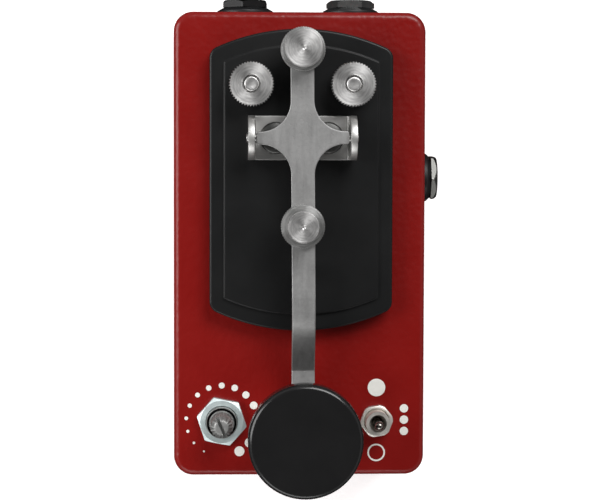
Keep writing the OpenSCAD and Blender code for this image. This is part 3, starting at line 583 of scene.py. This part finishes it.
def bosses():
    """The four cast screw bosses in the shell's corners."""
    r, ease = 4.05, 0.15
    top = PANEL_Z - PANEL_T - COVER_TOP + 0.5
    profile = [(SCREW_HOLE_R, 0), (r - ease, 0), (r, ease), (r, top), (SCREW_HOLE_R, top)]
    bm = bmesh.new()
    for x, y in COVER_SCREWS:
        add_lathe(bm, profile, 40, (x, y, COVER_TOP), hole=True)
    new_object("screw_bosses", bm, "red")


def bottom_cover():
    """Cast cover with a rounded lower rim and countersunk screw holes."""
    rim = 0.8
    bm = bmesh.new()
    add_loft(bm, [box_ring(rim * s, rim * c) for c, s in quarter(5)]
             + [box_ring(0, COVER_TOP - 0.15), box_ring(0.15, COVER_TOP)])
    obj = new_object("cover_plate", bm, "red")
    sink_r, below, through = 3, 0.3, 4
    profile = [(sink_r + below, -below), (sink_r, 0), (SCREW_HOLE_R, sink_r - SCREW_HOLE_R),
               (SCREW_HOLE_R, through)]
    cutters = bmesh.new()
    for x, y in COVER_SCREWS:
        add_lathe(cutters, profile, 48, (x, y, 0))
    cut(obj, cutters)
    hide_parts("bottom_cover")


# ---- printed marks

INK_T = 0.06
DOT_RING_R = 9.2
DOT_COUNT = 15
DOT_SMALL, DOT_LARGE = 0.26, 1.31


def add_dot(bm, x, y, r, segments=40):
    profile = [(r, 0), (r, INK_T * 0.6), (r - INK_T * 0.4, INK_T)]
    add_lathe(bm, profile, segments, (x, y, PANEL_Z))


def printed_marks():
    """Growing dots round the pot, and filled, open and triple marks round the toggle switch."""
    bm = bmesh.new()
    gap = radians(30)  # on each side of the foot of the row
    for i in range(DOT_COUNT):
        share = i / (DOT_COUNT - 1)
        a = -pi / 2 - gap - share * (TAU - 2 * gap)
        add_dot(bm, POT.x + DOT_RING_R * cos(a), POT.y + DOT_RING_R * sin(a),
                DOT_SMALL + (DOT_LARGE - DOT_SMALL) * share)
    big_r, small_r, line, soft = 2.3, 1.1, 0.42, 0.03
    up, right, down, pitch = 8.6, 7.2, 8.4, 2.96
    add_dot(bm, SWITCH.x, SWITCH.y + up, big_r, 64)
    for row in (-1, 0, 1):
        add_dot(bm, SWITCH.x + right, SWITCH.y + (row * pitch + 0.17), small_r)
    profile = [(big_r - line, 0), (big_r, 0), (big_r, INK_T * 0.6), (big_r - soft, INK_T),
               (big_r - line + soft, INK_T), (big_r - line, INK_T * 0.6)]
    add_lathe(bm, profile, 72, (SWITCH.x, SWITCH.y - down, PANEL_Z), hole=True)
    new_object("printed_marks", bm, "ink")


# ---- key base

def key_base():
    """Moulded base: rounded outer band and a raised deck with its own soft edge."""
    size, centre = span("key_base"), mid("key_base")
    end_r, corner_r = 52, 3
    inset, edge = 3.8, 0.6
    foot, top = 0.2, 0.22
    band_z = DECK_Z - 1

    def ring(d, z, deck=False):
        """Outline moved in by d; the deck's has tighter corners, and is shorter at both ends."""
        more, r = (0.5, 0.6) if deck else (0, max(corner_r - d, 0.35))
        return [(centre.x + x, centre.y + y, z)
                for x, y in bowed_outline(size.x - 2 * d, size.y - 2 * (d + more), end_r - d, r)]

    rings = [ring(0.25, PANEL_Z), ring(0, PANEL_Z + 0.25)]
    rings += [ring(edge * c, band_z - edge * s) for c, s in quarter(6)]
    rings += [ring(edge + 0.3, band_z), ring(inset - foot - 0.3, band_z, True)]
    rings += [ring(inset - foot * s, band_z + foot * c, True) for c, s in quarter(3)]
    rings += [ring(inset + top * c, DECK_Z - top * s, True) for c, s in quarter(5)[1:]]
    bm = bmesh.new()
    add_loft(bm, rings + [ring(inset + top + 0.3, DECK_Z, True)])
    obj = new_object("moulded_base", bm, "base")
    pocket = low("return_spring").z - 0.02
    pocket_r, stud_hole_r, sink = 3.6, 1.96, 0.25
    holes = [((MIDDLE.x, MIDDLE.y, pocket), UP, pocket_r, DECK_Z - pocket + sink, sink)]
    for post in (LEFT_POST, RIGHT_POST):
        holes.append(((post.x, post.y, PANEL_Z - 1), UP, stud_hole_r, DECK_Z - PANEL_Z + 2))
    drill(obj, holes)
    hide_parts("key_base")


# ---- bracket and lever

SCREW_OUT = 6.6
SCREW_XS = [mid("bracket_screws").x + s * SCREW_OUT for s in (-1, 1)]


def bracket():
    """U-bracket bent from strip: flat web, round bends and two round-topped ears."""
    a, b = box("pivot_bracket")
    t, bend_r = 1.6, 2.2
    half, ear_r = (b.x - a.x) / 2, (b.y - a.y) / 2
    flat = half - bend_r
    bend_l = (bend_r - t / 2) * pi / 2
    wall_l = b.z - a.z - bend_r
    end = flat + bend_l + wall_l
    cap = arc(end - ear_r, 0, ear_r, 90, -90, 40)
    outline = cap[::-1] + [(-x, y) for x, y in cap]
    bm = bmesh.new()
    add_plate(bm, outline, 0, t, 0.07)
    slice_mesh(bm, RIGHT, [s * (flat + bend_l * i / 8) for s in (-1, 1) for i in range(9)])
    for v in bm.verts:
        s, x, z = copysign(1, v.co.x), abs(v.co.x), v.co.z
        if x > flat:
            angle = min((x - flat) / bend_l, 1) * pi / 2
            rise = max(x - flat - bend_l, 0)
            v.co.x = s * (flat + (bend_r - z) * sin(angle))
            v.co.z = bend_r - (bend_r - z) * cos(angle) + rise
    bmesh.ops.translate(bm, verts=bm.verts, vec=(PIVOT.x, PIVOT.y, a.z))
    obj = new_object("bracket", bm, "bracket")
    reach, pin_hole_r, screw_hole_r = 2 * half + 4, 1.25, 1.5
    holes = [((PIVOT.x - reach / 2, PIVOT.y, PIVOT.z), RIGHT, pin_hole_r, reach)]
    holes += [((x, PIVOT.y, a.z - 1), UP, screw_hole_r, 4) for x in SCREW_XS]
    drill(obj, holes)
    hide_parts("pivot_bracket")


def bracket_screws():
    """Slotted pan-head screws that hold the bracket down."""
    a, b = box("bracket_screws")
    head_r, head_h, shank_r = SCREW_XS[0] - a.x, 1.5, 1.4
    head = b.z - a.z - head_h
    profile = [(shank_r - 0.3, 0)] + threaded(shank_r, 0.3, head - 0.4)
    profile += [(shank_r, head), (head_r - 0.1, head), (head_r, head + 0.1)]
    profile += arc(head_r - 0.7, head + 0.5, 0.7, 0, 75, 6)
    profile += [(head_r * 0.6, head + head_h - 0.15), (head_r * 0.3, head + head_h - 0.03),
                (0.3, head + head_h)]
    bm = bmesh.new()
    for x in SCREW_XS:
        add_lathe(bm, profile, 56, (x, PIVOT.y, a.z))
    # Their near-black steel is painted shade of the lever above
    obj = new_object("pan_screws", bm, "pan")
    slot_w, slot_h = 0.9, 1.4
    slots = bmesh.new()
    for x in SCREW_XS:
        add_block(slots, (x, PIVOT.y, b.z), 0.5 * (x - PIVOT.x), (10, slot_w, slot_h))
    cut(obj, slots)
    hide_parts("bracket_screws")


def pivot_pins():
    """Two pins with rounded ends, pressed into the lever's arms."""
    a, b = box("pivot_pins")
    bm = bmesh.new()
    r, l = 1.2, 4.6
    for s in (-1, 1):
        part = bmesh.new()
        add_lathe(part, [(r - 0.2, 0), (r, 0.2)] + arc(r - 0.35, l - 0.35, 0.35, 0, 80), 40)
        end = b.x if s > 0 else a.x
        turn_to(part, RIGHT * s, (end - s * l, PIVOT.y, PIVOT.z))
        merge(bm, part)
    obj = new_object("pins", bm, "screw", "lever")
    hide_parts("pivot_pins")


LEVER_T = 1.9
LEVER_W = 5.9
ARM_TIP_W = 3.2
ARM_TIP_X = 11.6
CROSS_R = 7.8
PAD_R = 5.4
LEVER_SLOPE, LEVER_LEAN = radians(28), radians(0.5)
# Soft creases where the front was bent down: distance from the pivot, radius and turn
CREASES = ((34.4, 6, -1.5), (40, 6, 10), (46.4, 12, 19.5))
LOW_CREASE_R = 1
KICK_UP, KICK_L = radians(4), 3.6
# Closer than this, a point is on the end of a run, and belongs to the next one
SAME = 1e-4


def lever_outline(front):
    """Cross-shaped outline with the pivot at the origin; front is the developed length forwards."""
    half_w, half_tip = LEVER_W / 2, ARM_TIP_W / 2
    arm = REAR.y - PIVOT.y
    neck = degrees(asin(half_w / PAD_R))
    cx, cy = half_w + CROSS_R, half_tip + CROSS_R
    tip = 0.3
    right = [(half_w - 0.8, -front), (half_w, -front + 0.8)]
    right += arc(0, -arm, PAD_R, -90 + neck, 90 - neck, 40)
    right += arc(cx, -cy, CROSS_R, 180, 90, 30)
    right += [(ARM_TIP_X - tip, -half_tip), (ARM_TIP_X, -half_tip + tip), (ARM_TIP_X, half_tip - tip),
              (ARM_TIP_X - tip, half_tip)]
    right += arc(cx, cy, CROSS_R, -90, -180, 30)
    right += arc(0, arm, PAD_R, -90 + neck, 90, 50)
    return right + [(-x, y) for x, y in right[::-1][1:]]


def crease_path(drop):
    """Runs of the bent front from the pivot: (start of the run, length, radius, first angle, turn)."""
    runs, at, angle, fallen = [], 0, 0.0, 0.0

    def add(length, radius=0.0, turn=0.0):
        nonlocal at, angle, fallen
        runs.append((at, length, radius, angle, turn))
        if radius:
            fallen -= copysign(radius, turn) * (cos(angle + turn) - cos(angle))
        else:
            fallen += length * sin(angle)
        at += length
        angle += turn

    for place, radius, bend in CREASES:
        turn = radians(bend)
        add(place - radius * turn / 2 - at)
        add(radius * turn, radius, turn)
    r, kick = LOW_CREASE_R, KICK_UP
    rest = r * (cos(kick) - cos(LEVER_SLOPE)) - KICK_L * sin(kick) - r * (1 - cos(kick))
    add((drop - fallen - rest) / sin(LEVER_SLOPE))
    add(r * (LEVER_SLOPE + kick), r, -LEVER_SLOPE - kick)
    add(KICK_L)
    add(r * kick, r, kick)
    return runs


def lever():
    """Stamped and tumbled lever with softened rims, creased down towards the knob."""
    top = high("key_lever").z
    runs = crease_path(top - (low("key_lever").z + LEVER_T))

    def bent(s, z):
        """Place of a point s in front of the pivot and z above the top face, and the run's end."""
        y = h = 0.0
        for start, length, radius, angle, turn in runs:
            part = min(max(s - start, 0), length)
            if radius:
                now = angle + turn * part / length
                side = copysign(1, turn)
                y += side * radius * (sin(now) - sin(angle))
                h += side * radius * (cos(now) - cos(angle))
            else:
                now = angle
                y += part * cos(angle)
                h -= part * sin(angle)
            if s < start + length - SAME:
                return y + z * sin(now), h + z * cos(now)
        return y + s - start - length, h + z

    flat_from = runs[-1][0] + runs[-1][1]
    front = flat_from + PIVOT.y - low("key_lever").y - bent(flat_from, 0)[0]
    bm = bmesh.new()
    add_plate(bm, lever_outline(front), -LEVER_T, 0, 0.16)
    marks = []
    for start, length, radius, *_ in runs:
        marks += [start + length * k / 4 for k in range(5)] if radius else []
    slice_mesh(bm, BACK, [-m for m in marks])
    for v in bm.verts:
        if v.co.y < -CREASES[0][0] / 2:
            y, z = bent(-v.co.y, v.co.z)
            v.co.y, v.co.z = -y, z
    bmesh.ops.rotate(bm, verts=bm.verts, matrix=Matrix.Rotation(LEVER_LEAN, 3, "Z"))
    bmesh.ops.translate(bm, verts=bm.verts, vec=(PIVOT.x, PIVOT.y, top))
    obj = new_object("lever", bm, "lever", "lever", 40)
    thread_r = 1.98
    drill(obj, [((p.x, p.y, top - 4), UP, thread_r, 6) for p in (REAR, MIDDLE)], 48)
    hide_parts("key_lever")


def fixed_contact():
    """The contact below the lever: a small hex nut, a threaded pillar and a silver face."""
    a, b = box("fixed_contact")
    c = (a + b) / 2
    top, deck = b.z - a.z, DECK_Z - a.z
    bm = bmesh.new()
    pillar = [(1.1, 0), (1.45, 0.3)] + threaded(1.45, 0.4, top - 1.5)
    pillar += [(1.6, top - 1.3), (1.9, top - 1.2), (2, top - 1.1), (2, top - 0.2), (1.85, top - 0.04),
               (0.3, top)]
    add_lathe(bm, pillar, 48, (c.x, c.y, a.z))
    nut = bmesh.new()
    add_hex_nut(nut, af=4, t=1.9, bore=1.47, turn=0.3)
    bmesh.ops.translate(nut, verts=nut.verts, vec=(c.x, c.y, a.z + deck))
    merge(bm, nut)
    obj = new_object("contact_pillar", bm, "silver")
    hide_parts("fixed_contact")


# ---- turned hardware

THUMB_TEETH = 47


def tooth(count, depth):
    """Radius change of a straight V knurl."""
    def wobble(a):
        phase = (a / TAU * count) % 1
        return -depth * (1 - abs(2 * phase - 1)) ** 0.7
    return wobble


def turned_face(r_in, r_out, z, pitch=0.55, depth=0.03):
    """Shallow tool marks across a faced end, from the outside in."""
    count = max(int((r_out - r_in) / pitch), 1)
    points = []
    for i in range(count):
        r = r_out - (r_out - r_in) * i / count
        step = (r_out - r_in) / count
        points += [(r, z), (r - step * 0.5, z - depth)]
    points.append((r_in, z))
    return points


def thumb_nut(name, node, post, body):
    """Terminal nut: V-knurled rim, faced top with a counterbore round the stud, collar below."""
    a, b = box(node)
    r, top = (b.x - a.x) / 2, b.z - a.z
    knurl_low = top - 5
    bore, sink = 1.97, 2.32
    bm = bmesh.new()
    profile = [(bore, 0), (3.6, 0), (3.85, 0.25), (3.85, knurl_low - 0.3),
               (4.1, knurl_low), (r - 0.6, knurl_low), (r, knurl_low + 0.3, 1),
               (r, top - 0.06, 1), (r - 0.05, top, 1), (r - 0.52, top)]
    profile += turned_face(sink, r - 0.62, top)
    profile += [(sink - 0.03, top - 0.06), (sink - 0.03, top - 1.1), (bore, top - 1.1)]
    add_lathe(bm, profile, THUMB_TEETH * 8, (post.x, post.y, a.z), tooth(THUMB_TEETH, 0.42), hole=True)
    obj = new_object(name, bm, "turned", body, 30)
    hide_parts(node)


def terminal_posts():
    """Studs with rounded ends and fine threads, each with its washer."""
    a, b = box("terminal_studs")
    bm = bmesh.new()
    r, top = 1.9, b.z - a.z
    for post in (LEFT_POST, RIGHT_POST):
        profile = [(r - 0.35, 0)] + threaded(r, 0.3, top - 0.5)
        profile += arc(r - 0.4, top - 0.45, 0.4, 10, 90, 5)
        profile += [(1.2, top - 0.04), (0.8, top - 0.1), (0.3, top - 0.12)]
        add_lathe(bm, profile, 48, (post.x, post.y, a.z))
        washer = [(2, 0), (4.25, 0), (4.4, 0.15), (4.4, 0.8), (4.2, 1), (2, 1)]
        add_lathe(bm, washer, 72, (post.x, post.y, DECK_Z), hole=True)
    obj = new_object("terminal_posts", bm, "stud")
    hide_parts("terminal_studs")


def ring_nut(name, node, body, teeth=56):
    """Thin knurled ring nut with a turned top."""
    a, b = box(node)
    c = (a + b) / 2
    r, t = (b.x - a.x) / 2, b.z - a.z
    bore = 1.98
    bm = bmesh.new()
    profile = [(bore, 0), (r - 0.4, 0), (r, 0.25, 1), (r, t - 0.1, 1),
               (r - 0.06, t - 0.02, 1), (r - 0.4, t)]
    profile += turned_face(bore + 0.3, r - 0.5, t, 0.5, 0.025)
    profile += [(bore, t - 0.3)]
    add_lathe(bm, profile, teeth * 6, (c.x, c.y, a.z), tooth(teeth, 0.2), hole=True)
    obj = new_object(name, bm, "ring", body, 30)
    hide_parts(node)


def thumb_screw(name, node, head_t, body, teeth):
    """Thumb screw: knurled head with a faced top and a centre dimple, threaded shank below."""
    a, b = box(node)
    c = (a + b) / 2
    head_r, top = (b.x - a.x) / 2, b.z - a.z
    r = 1.92
    head = top - head_t
    bm = bmesh.new()
    profile = [(r - 0.5, 0), (r - 0.15, 0.35)] + threaded(r, 0.5, head - 0.8)
    profile += [(r - 0.1, head - 0.3), (r + 0.3, head), (head_r - 0.4, head),
                (head_r, head + 0.25, 1), (head_r, top - 0.1, 1),
                (head_r - 0.06, top - 0.02, 1), (head_r - 0.3, top)]
    profile += turned_face(0.5, head_r - 0.4, top, 0.5, 0.03)
    profile += [(0.3, top - 0.1), (0.08, top - 0.16)]
    add_lathe(bm, profile, teeth * 8, (c.x, c.y, a.z), tooth(teeth, 0.14))
    obj = new_object(name, bm, "turned", body, 30)
    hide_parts(node)


# ---- knob

def knob():
    """Flat-topped turned knob: eased rims, a barely dished face and a flared neck."""
    a, b = box("knob")
    c = (a + b) / 2
    r, top = (b.x - a.x) / 2, b.z - a.z
    thick, neck, flare, edge = 6.6, 5.5, 2.5, 1.3
    under = top - thick
    profile = [(1.8, 0), (neck - 0.3, 0), (neck, 0.3)]
    profile += arc(neck + flare, under - flare, flare, 180, 90, 8)
    profile += arc(r - edge, under + edge, edge, -90, 0, 8)
    profile += arc(r - edge, top - edge, edge, 0, 90, 10)
    profile += [(r - edge - 1.2, top - 0.02), (r * 0.6, top - 0.06), (r * 0.3, top - 0.09),
                (0.4, top - 0.1)]
    bm = bmesh.new()
    add_lathe(bm, profile, 160, (c.x, c.y, a.z))
    obj = new_object("key_knob", bm, "knob", "lever", 50)
    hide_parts("knob")


# ---- hex nuts, pot and switch

def add_hex_nut(bm, af, t, bore, turn=0.0, crown=0.965, slope=30, clip=99.0, segments=144):
    """Hex nut standing on z = 0: a cone breaks its top corners and a circle trims its sides."""
    slope = tan(radians(slope))
    circle = af / 2 * crown
    ease, sink_w, sink_h = 0.06, 0.22, 0.3

    def drop(r):
        return max(r - circle, 0) * slope

    rings = [[] for _ in range(9)]
    for i in range(segments):
        a = TAU * i / segments
        hex_r = min(af / 2 / cos(((a - turn) % (pi / 3)) - pi / 6), clip)
        edge_r = hex_r - ease
        half_r = (edge_r + circle) / 2
        points = [(bore, 0), (edge_r, 0), (hex_r, ease), (hex_r, t - drop(hex_r) - 0.04),
                  (edge_r, t - drop(edge_r)), (half_r, t - drop(half_r)),
                  (circle, t), (bore + sink_w, t), (bore, t - sink_h)]
        for ring, (r, z) in zip(rings, points):
            ring.append((r * cos(a), r * sin(a), z))
    add_loft(bm, rings, closed=True)


def seat(centre, axis, corner):
    """A centre moved along an axis to the plane through a corner."""
    return [c if along else m for m, along, c in zip(centre, axis, corner)]


def hex_nut(name, node, af, bore, axis, material, slot, turn, centre=None, **shape):
    """Hex nut that takes its place and thickness from a CAD node, turned by an angle in degrees."""
    a, b = box(node)
    bm = bmesh.new()
    add_hex_nut(bm, af, (b - a).dot(axis), bore, radians(turn), **shape)
    turn_to(bm, axis, seat(centre or (a + b) / 2, axis, a))
    obj = new_object(name, bm, material, angle=24)
    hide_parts(node)


def threaded(r, z0, z1, pitch=0.5, depth=0.12):
    """Profile points of a fine thread between two heights."""
    points = []
    z = z0
    while z + pitch <= z1:
        points += [(r, z), (r - depth, z + pitch / 2)]
        z += pitch
    points.append((r, z))
    return points


def pot():
    """Pot bushing: fine thread, flat end and a wide mouth round the shaft."""
    r, mouth, hole = 3.98, 3.16, 3.06
    start = PANEL_Z - PANEL_T
    length = high("speed_pot_body").z - start
    profile = [(hole, 0), (r, 0)] + threaded(r, 0.2, length - 0.4)
    profile += [(r, length - 0.14), (r - 0.08, length - 0.02), (r - 0.14, length),
                (mouth + 0.08, length), (mouth, length - 0.1), (mouth, length - 1.4),
                (hole, length - 1.5)]
    bm = bmesh.new()
    add_lathe(bm, profile, 96, (POT.x, POT.y, start), hole=True)
    new_object("pot_bushing", bm, "bushing")


def pot_shaft():
    """Fluted shaft with a broad chamfer, split across its end."""
    a, b = box("speed_pot_shaft")
    r, neck = 2.97, 2.78
    top = b.z - a.z
    flutes = PANEL_Z + 5.4 - a.z
    teeth, tooth_h, chamfer = 18, 0.32, 1.2
    profile = [(neck - 0.1, 0), (neck, 0.1), (neck, flutes - 0.1), (r, flutes + 0.05, 1),
               (r, top - chamfer, 1), (r - chamfer * 0.5, top - chamfer * 0.5, 0.75),
               (r - chamfer, top - 0.04, 0.1), (r - chamfer - 0.1, top), (r * 0.3, top - 0.05),
               (0.2, top - 0.08)]
    bm = bmesh.new()
    add_lathe(bm, profile, teeth * 10, (POT.x, POT.y, a.z), tooth(teeth, tooth_h))
    obj = new_object("pot_shaft", bm, "pot", "speed_shaft", 40)
    slot_w, depth = 0.8, 1.6
    slot = bmesh.new()
    add_block(slot, (POT.x, POT.y, b.z - depth / 2 + 1), radians(114), (9, slot_w, depth + 2))
    cut(obj, slot)
    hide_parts("speed_pot_shaft")


def switch_bush():
    """Toggle bushing: thread, keyway at the back and the conical mouth that the bat leaves."""
    top = high("toggle_body").z
    start = PANEL_Z - PANEL_T
    length = top - start
    r, mouth, throat = 3.08, 2.37, 1.42
    ball_z = SWITCH.z - start
    profile = [(throat, ball_z - 0.9), (throat, 0), (r, 0)] + threaded(r, 0.2, length - 0.5)
    profile += [(r, length - 0.5), (r - 0.45, length - 0.04), (mouth + 0.22, length),
                (mouth + 0.05, length - 0.04)]
    steps = 6
    for i in range(steps):
        share = i / steps
        rr = mouth - 0.1 + (throat - mouth + 0.1) * share ** 3
        z = length - 0.3 + (ball_z + 0.1 - length + 0.3) * share
        profile += [(rr, z), (rr - 0.02, z - 0.3), (rr - 0.12, z - 0.34)]
    bm = bmesh.new()
    add_lathe(bm, profile, 72, (SWITCH.x, SWITCH.y, start), hole=True)
    # The bushing's darker, warmer nickel is painted shade of its deep mouth
    obj = new_object("switch_bushing", bm, "shaded_nickel")
    key = bmesh.new()
    a = radians(98)
    add_block(key, (SWITCH.x + r * cos(a), SWITCH.y + r * sin(a), top - 1.5), a, (1, 0.9, 8))
    cut(obj, key)


def switch_bat():
    """Tapered bat with a rounded tip, on the ball it rocks on."""
    a, b = box("toggle_bat")
    top = b.z - SWITCH.z
    ball, neck, tip = 1.33, 0.78, 1.15
    profile = arc(0, 0, ball, -84, 50, 14) + [(neck, ball * 0.95), (neck + 0.05, ball + 0.6)]
    profile += [(tip, top - tip - 0.3)] + arc(0, top - tip, tip, 5, 84, 10)
    bm = bmesh.new()
    add_lathe(bm, profile, 48, SWITCH)
    obj = new_object("switch_bat", bm, "bat", "toggle_bat", 50)
    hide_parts("toggle_bat")


# ---- jacks

def jack_fronts():
    """Threaded noses of the phone jacks, with a stepped mouth and a deep bore."""
    for side in ("left", "right"):
        a, b = box(side + "_jack")
        c = (a + b) / 2
        r, bore = 4.68, 3.25
        length = b.y - (FOOT_HALF.y - 3)
        profile = [(bore, 0), (r, 0)] + threaded(r, 0.2, length - 0.5, 0.6)
        profile += [(r, length - 0.35), (r - 0.35, length), (bore + 0.5, length),
                    (bore, length - 0.5)]
        bm = bmesh.new()
        add_lathe(bm, profile, 72, hole=True)
        turn_to(bm, BACK, (c.x, b.y - length, c.z))
        new_object(side + "_jack_nose", bm, "black")


def cone_washers(name, node, axis, centres, inner, outer, cone_h, cone_r):
    """Black moulded washers with a straight rim below a cone."""
    a, b = box(node)
    t = (b - a).dot(axis)
    soft = 0.15
    profile = [(inner, 0), (outer, 0), (outer, cone_h - soft), (outer - soft * 0.6, cone_h + soft * 0.6),
               (cone_r + soft, t - soft * 0.8), (cone_r - soft, t), (inner, t)]
    bm = bmesh.new()
    for centre in centres:
        part = bmesh.new()
        add_lathe(part, profile, 80, hole=True)
        turn_to(part, axis, seat(centre, axis, a))
        merge(bm, part)
    obj = new_object(name, bm, "black", angle=20)
    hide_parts(node)


# ---- spring

def return_spring():
    """Round-wire compression spring in its pocket under the lever."""
    a, b = box("return_spring")
    wire = 0.3
    r = (b.x - a.x) / 2 - wire
    turns, per_turn, sides = 5, 36, 12
    bottom, top = a.z + wire, b.z - wire
    count = turns * per_turn
    rings = []
    for i in range(count + 1):
        share = i / count
        angle = TAU * turns * share
        centre = Vector((MIDDLE.x + r * cos(angle), MIDDLE.y + r * sin(angle),
                         bottom + (top - bottom) * share))
        out = Vector((cos(angle), sin(angle), 0))
        rings.append([centre + wire * (out * cos(TAU * k / sides) + UP * sin(TAU * k / sides))
                      for k in range(sides)])
    bm = bmesh.new()
    add_loft(bm, rings)
    obj = new_object("coil_spring", bm, "spring", angle=60)
    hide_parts("return_spring")
    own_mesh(obj)


# ---- build

for make in (enclosure, bosses, bottom_cover, printed_marks, key_base, bracket, bracket_screws,
             pivot_pins, lever, fixed_contact):
    make()
thumb_nut("left_thumb_nut", "left_terminal_nut", LEFT_POST, "left_terminal_nut")
thumb_nut("right_thumb_nut", "right_terminal_nut", RIGHT_POST, "right_terminal_nut")
terminal_posts()
ring_nut("rear_ring_nut", "gap_lock_nut", "gap_lock_nut")
ring_nut("middle_ring_nut", "tension_lock_nut", "tension_lock_nut")
thumb_screw("rear_thumb_screw", "gap_screw", 3.2, "gap_screw", 48)
thumb_screw("middle_thumb_screw", "tension_screw", 4, "tension_screw", 40)
knob()
hex_nut("pot_nut", "speed_pot_nut", 11.4, 4.03, UP, "zinc", "zinc_plate", -11.5, crown=0.97, slope=24)
hex_nut("switch_nut", "toggle_nut", 7.9, 3.15, UP, "nickel", "nickel", 9, crown=0.93, slope=18, clip=4.2)
for make in (pot, pot_shaft, switch_bush, switch_bat, jack_fronts):
    make()
jack_centres = [mid("left_jack"), mid("right_jack")]
# The left nut's near-black metal is painted dark reflection; the right nut is the same part, left bright
hex_nut("left_phone_nut", "jack_nuts", 11.1, 4.75, BACK, "dark", "dark_metal", 24, jack_centres[0],
        crown=0.97, slope=35)
hex_nut("right_phone_nut", "jack_nuts", 11.1, 4.75, BACK, "gunmetal", "dark_metal", -5, jack_centres[1],
        crown=0.97, slope=35)
cone_washers("phone_jack_washers", "jack_washers", BACK, jack_centres, 4.8, 7.4, 0.85, 5.9)
hex_nut("power_nut", "power_jack_nut", 11, 4, RIGHT, "chrome", "nickel", 4, crown=0.945, slope=45)
cone_washers("power_washer", "power_jack_washer", RIGHT, [mid("power_jack")], 4.05, 6.4, 1.5, 5.3)
return_spring()


# ---- floor, light and camera

def stage():
    """A plain pale floor, lit a little from within, that the glossy pieces don't mirror."""
    n = Nodes("floor")
    n.into(n.mix(n.noise(3, 2, 0.5), (0.88, 0.88, 0.88), (0.9, 0.9, 0.9)), "Base Color")
    n.set(Roughness=0.9, Specular_IOR_Level=0.1, Emission_Color=(1, 1, 1, 1), Emission_Strength=0.5)
    bm = bmesh.new()
    bmesh.ops.create_grid(bm, x_segments=1, y_segments=1, size=3 / MM)
    mesh = to_mesh("floor", bm)
    mesh.materials.append(n.material)
    floor = bpy.data.objects.new("floor", mesh)
    bpy.context.scene.collection.objects.link(floor)
    floor.location = (0, 0, -0.0002)
    floor.visible_glossy = False


def area_light(name, place, size, power):
    """Softbox aimed at the middle of the box's top."""
    light = bpy.data.lights.new(name, "AREA")
    light.shape = "RECTANGLE"
    light.size, light.size_y = size
    light.energy = power
    obj = bpy.data.objects.new(name, light)
    obj.location = place
    aim = Vector((0, 0, PANEL_Z * MM)) - Vector(place)
    obj.rotation_euler = aim.to_track_quat("-Z", "Y").to_euler()
    bpy.context.scene.collection.objects.link(obj)


def lights():
    """Soft studio: a bright horizon, a dim zenith behind the camera, and softboxes at the sides."""
    world = bpy.data.worlds.new("studio")
    world.use_nodes = True
    tree = world.node_tree
    place = tree.nodes.new("ShaderNodeTexCoord")
    split = tree.nodes.new("ShaderNodeSeparateXYZ")
    ramp = tree.nodes.new("ShaderNodeValToRGB")
    set_stops(ramp, ((0, 0.04), (0.18, 0.4), (0.42, 0.5), (0.6, 0.3), (0.82, 0.05)))
    tree.links.new(place.outputs["Generated"], split.inputs[0])
    tree.links.new(split.outputs["Z"], ramp.inputs["Fac"])
    tree.links.new(ramp.outputs["Color"], tree.nodes["Background"].inputs["Color"])
    bpy.context.scene.world = world
    area_light("back_light", (0.35, 0.62, 0.8), (0.6, 0.5), 8)
    area_light("left_light", (-0.8, 0.15, 0.6), (0.6, 0.7), 7)
    area_light("front_light", (-0.2, -0.8, 0.6), (0.8, 0.4), 3)


def camera():
    """Looks down from slightly behind and to the left of the box's middle, as the photograph does."""
    data = bpy.data.cameras.new("camera")
    data.sensor_width = 36
    data.lens = 113.68
    data.clip_start, data.clip_end = 0.01, 10
    cam = bpy.data.objects.new("camera", data)
    cam.location = (-0.01838, 0.02599, 0.53641)
    cam.rotation_euler = [radians(v) for v in (-3.146, -2.27, 0.161)]
    bpy.context.scene.collection.objects.link(cam)
    bpy.context.scene.camera = cam


stage()
lights()
camera()
bpy.context.scene.view_settings.view_transform = "Standard"
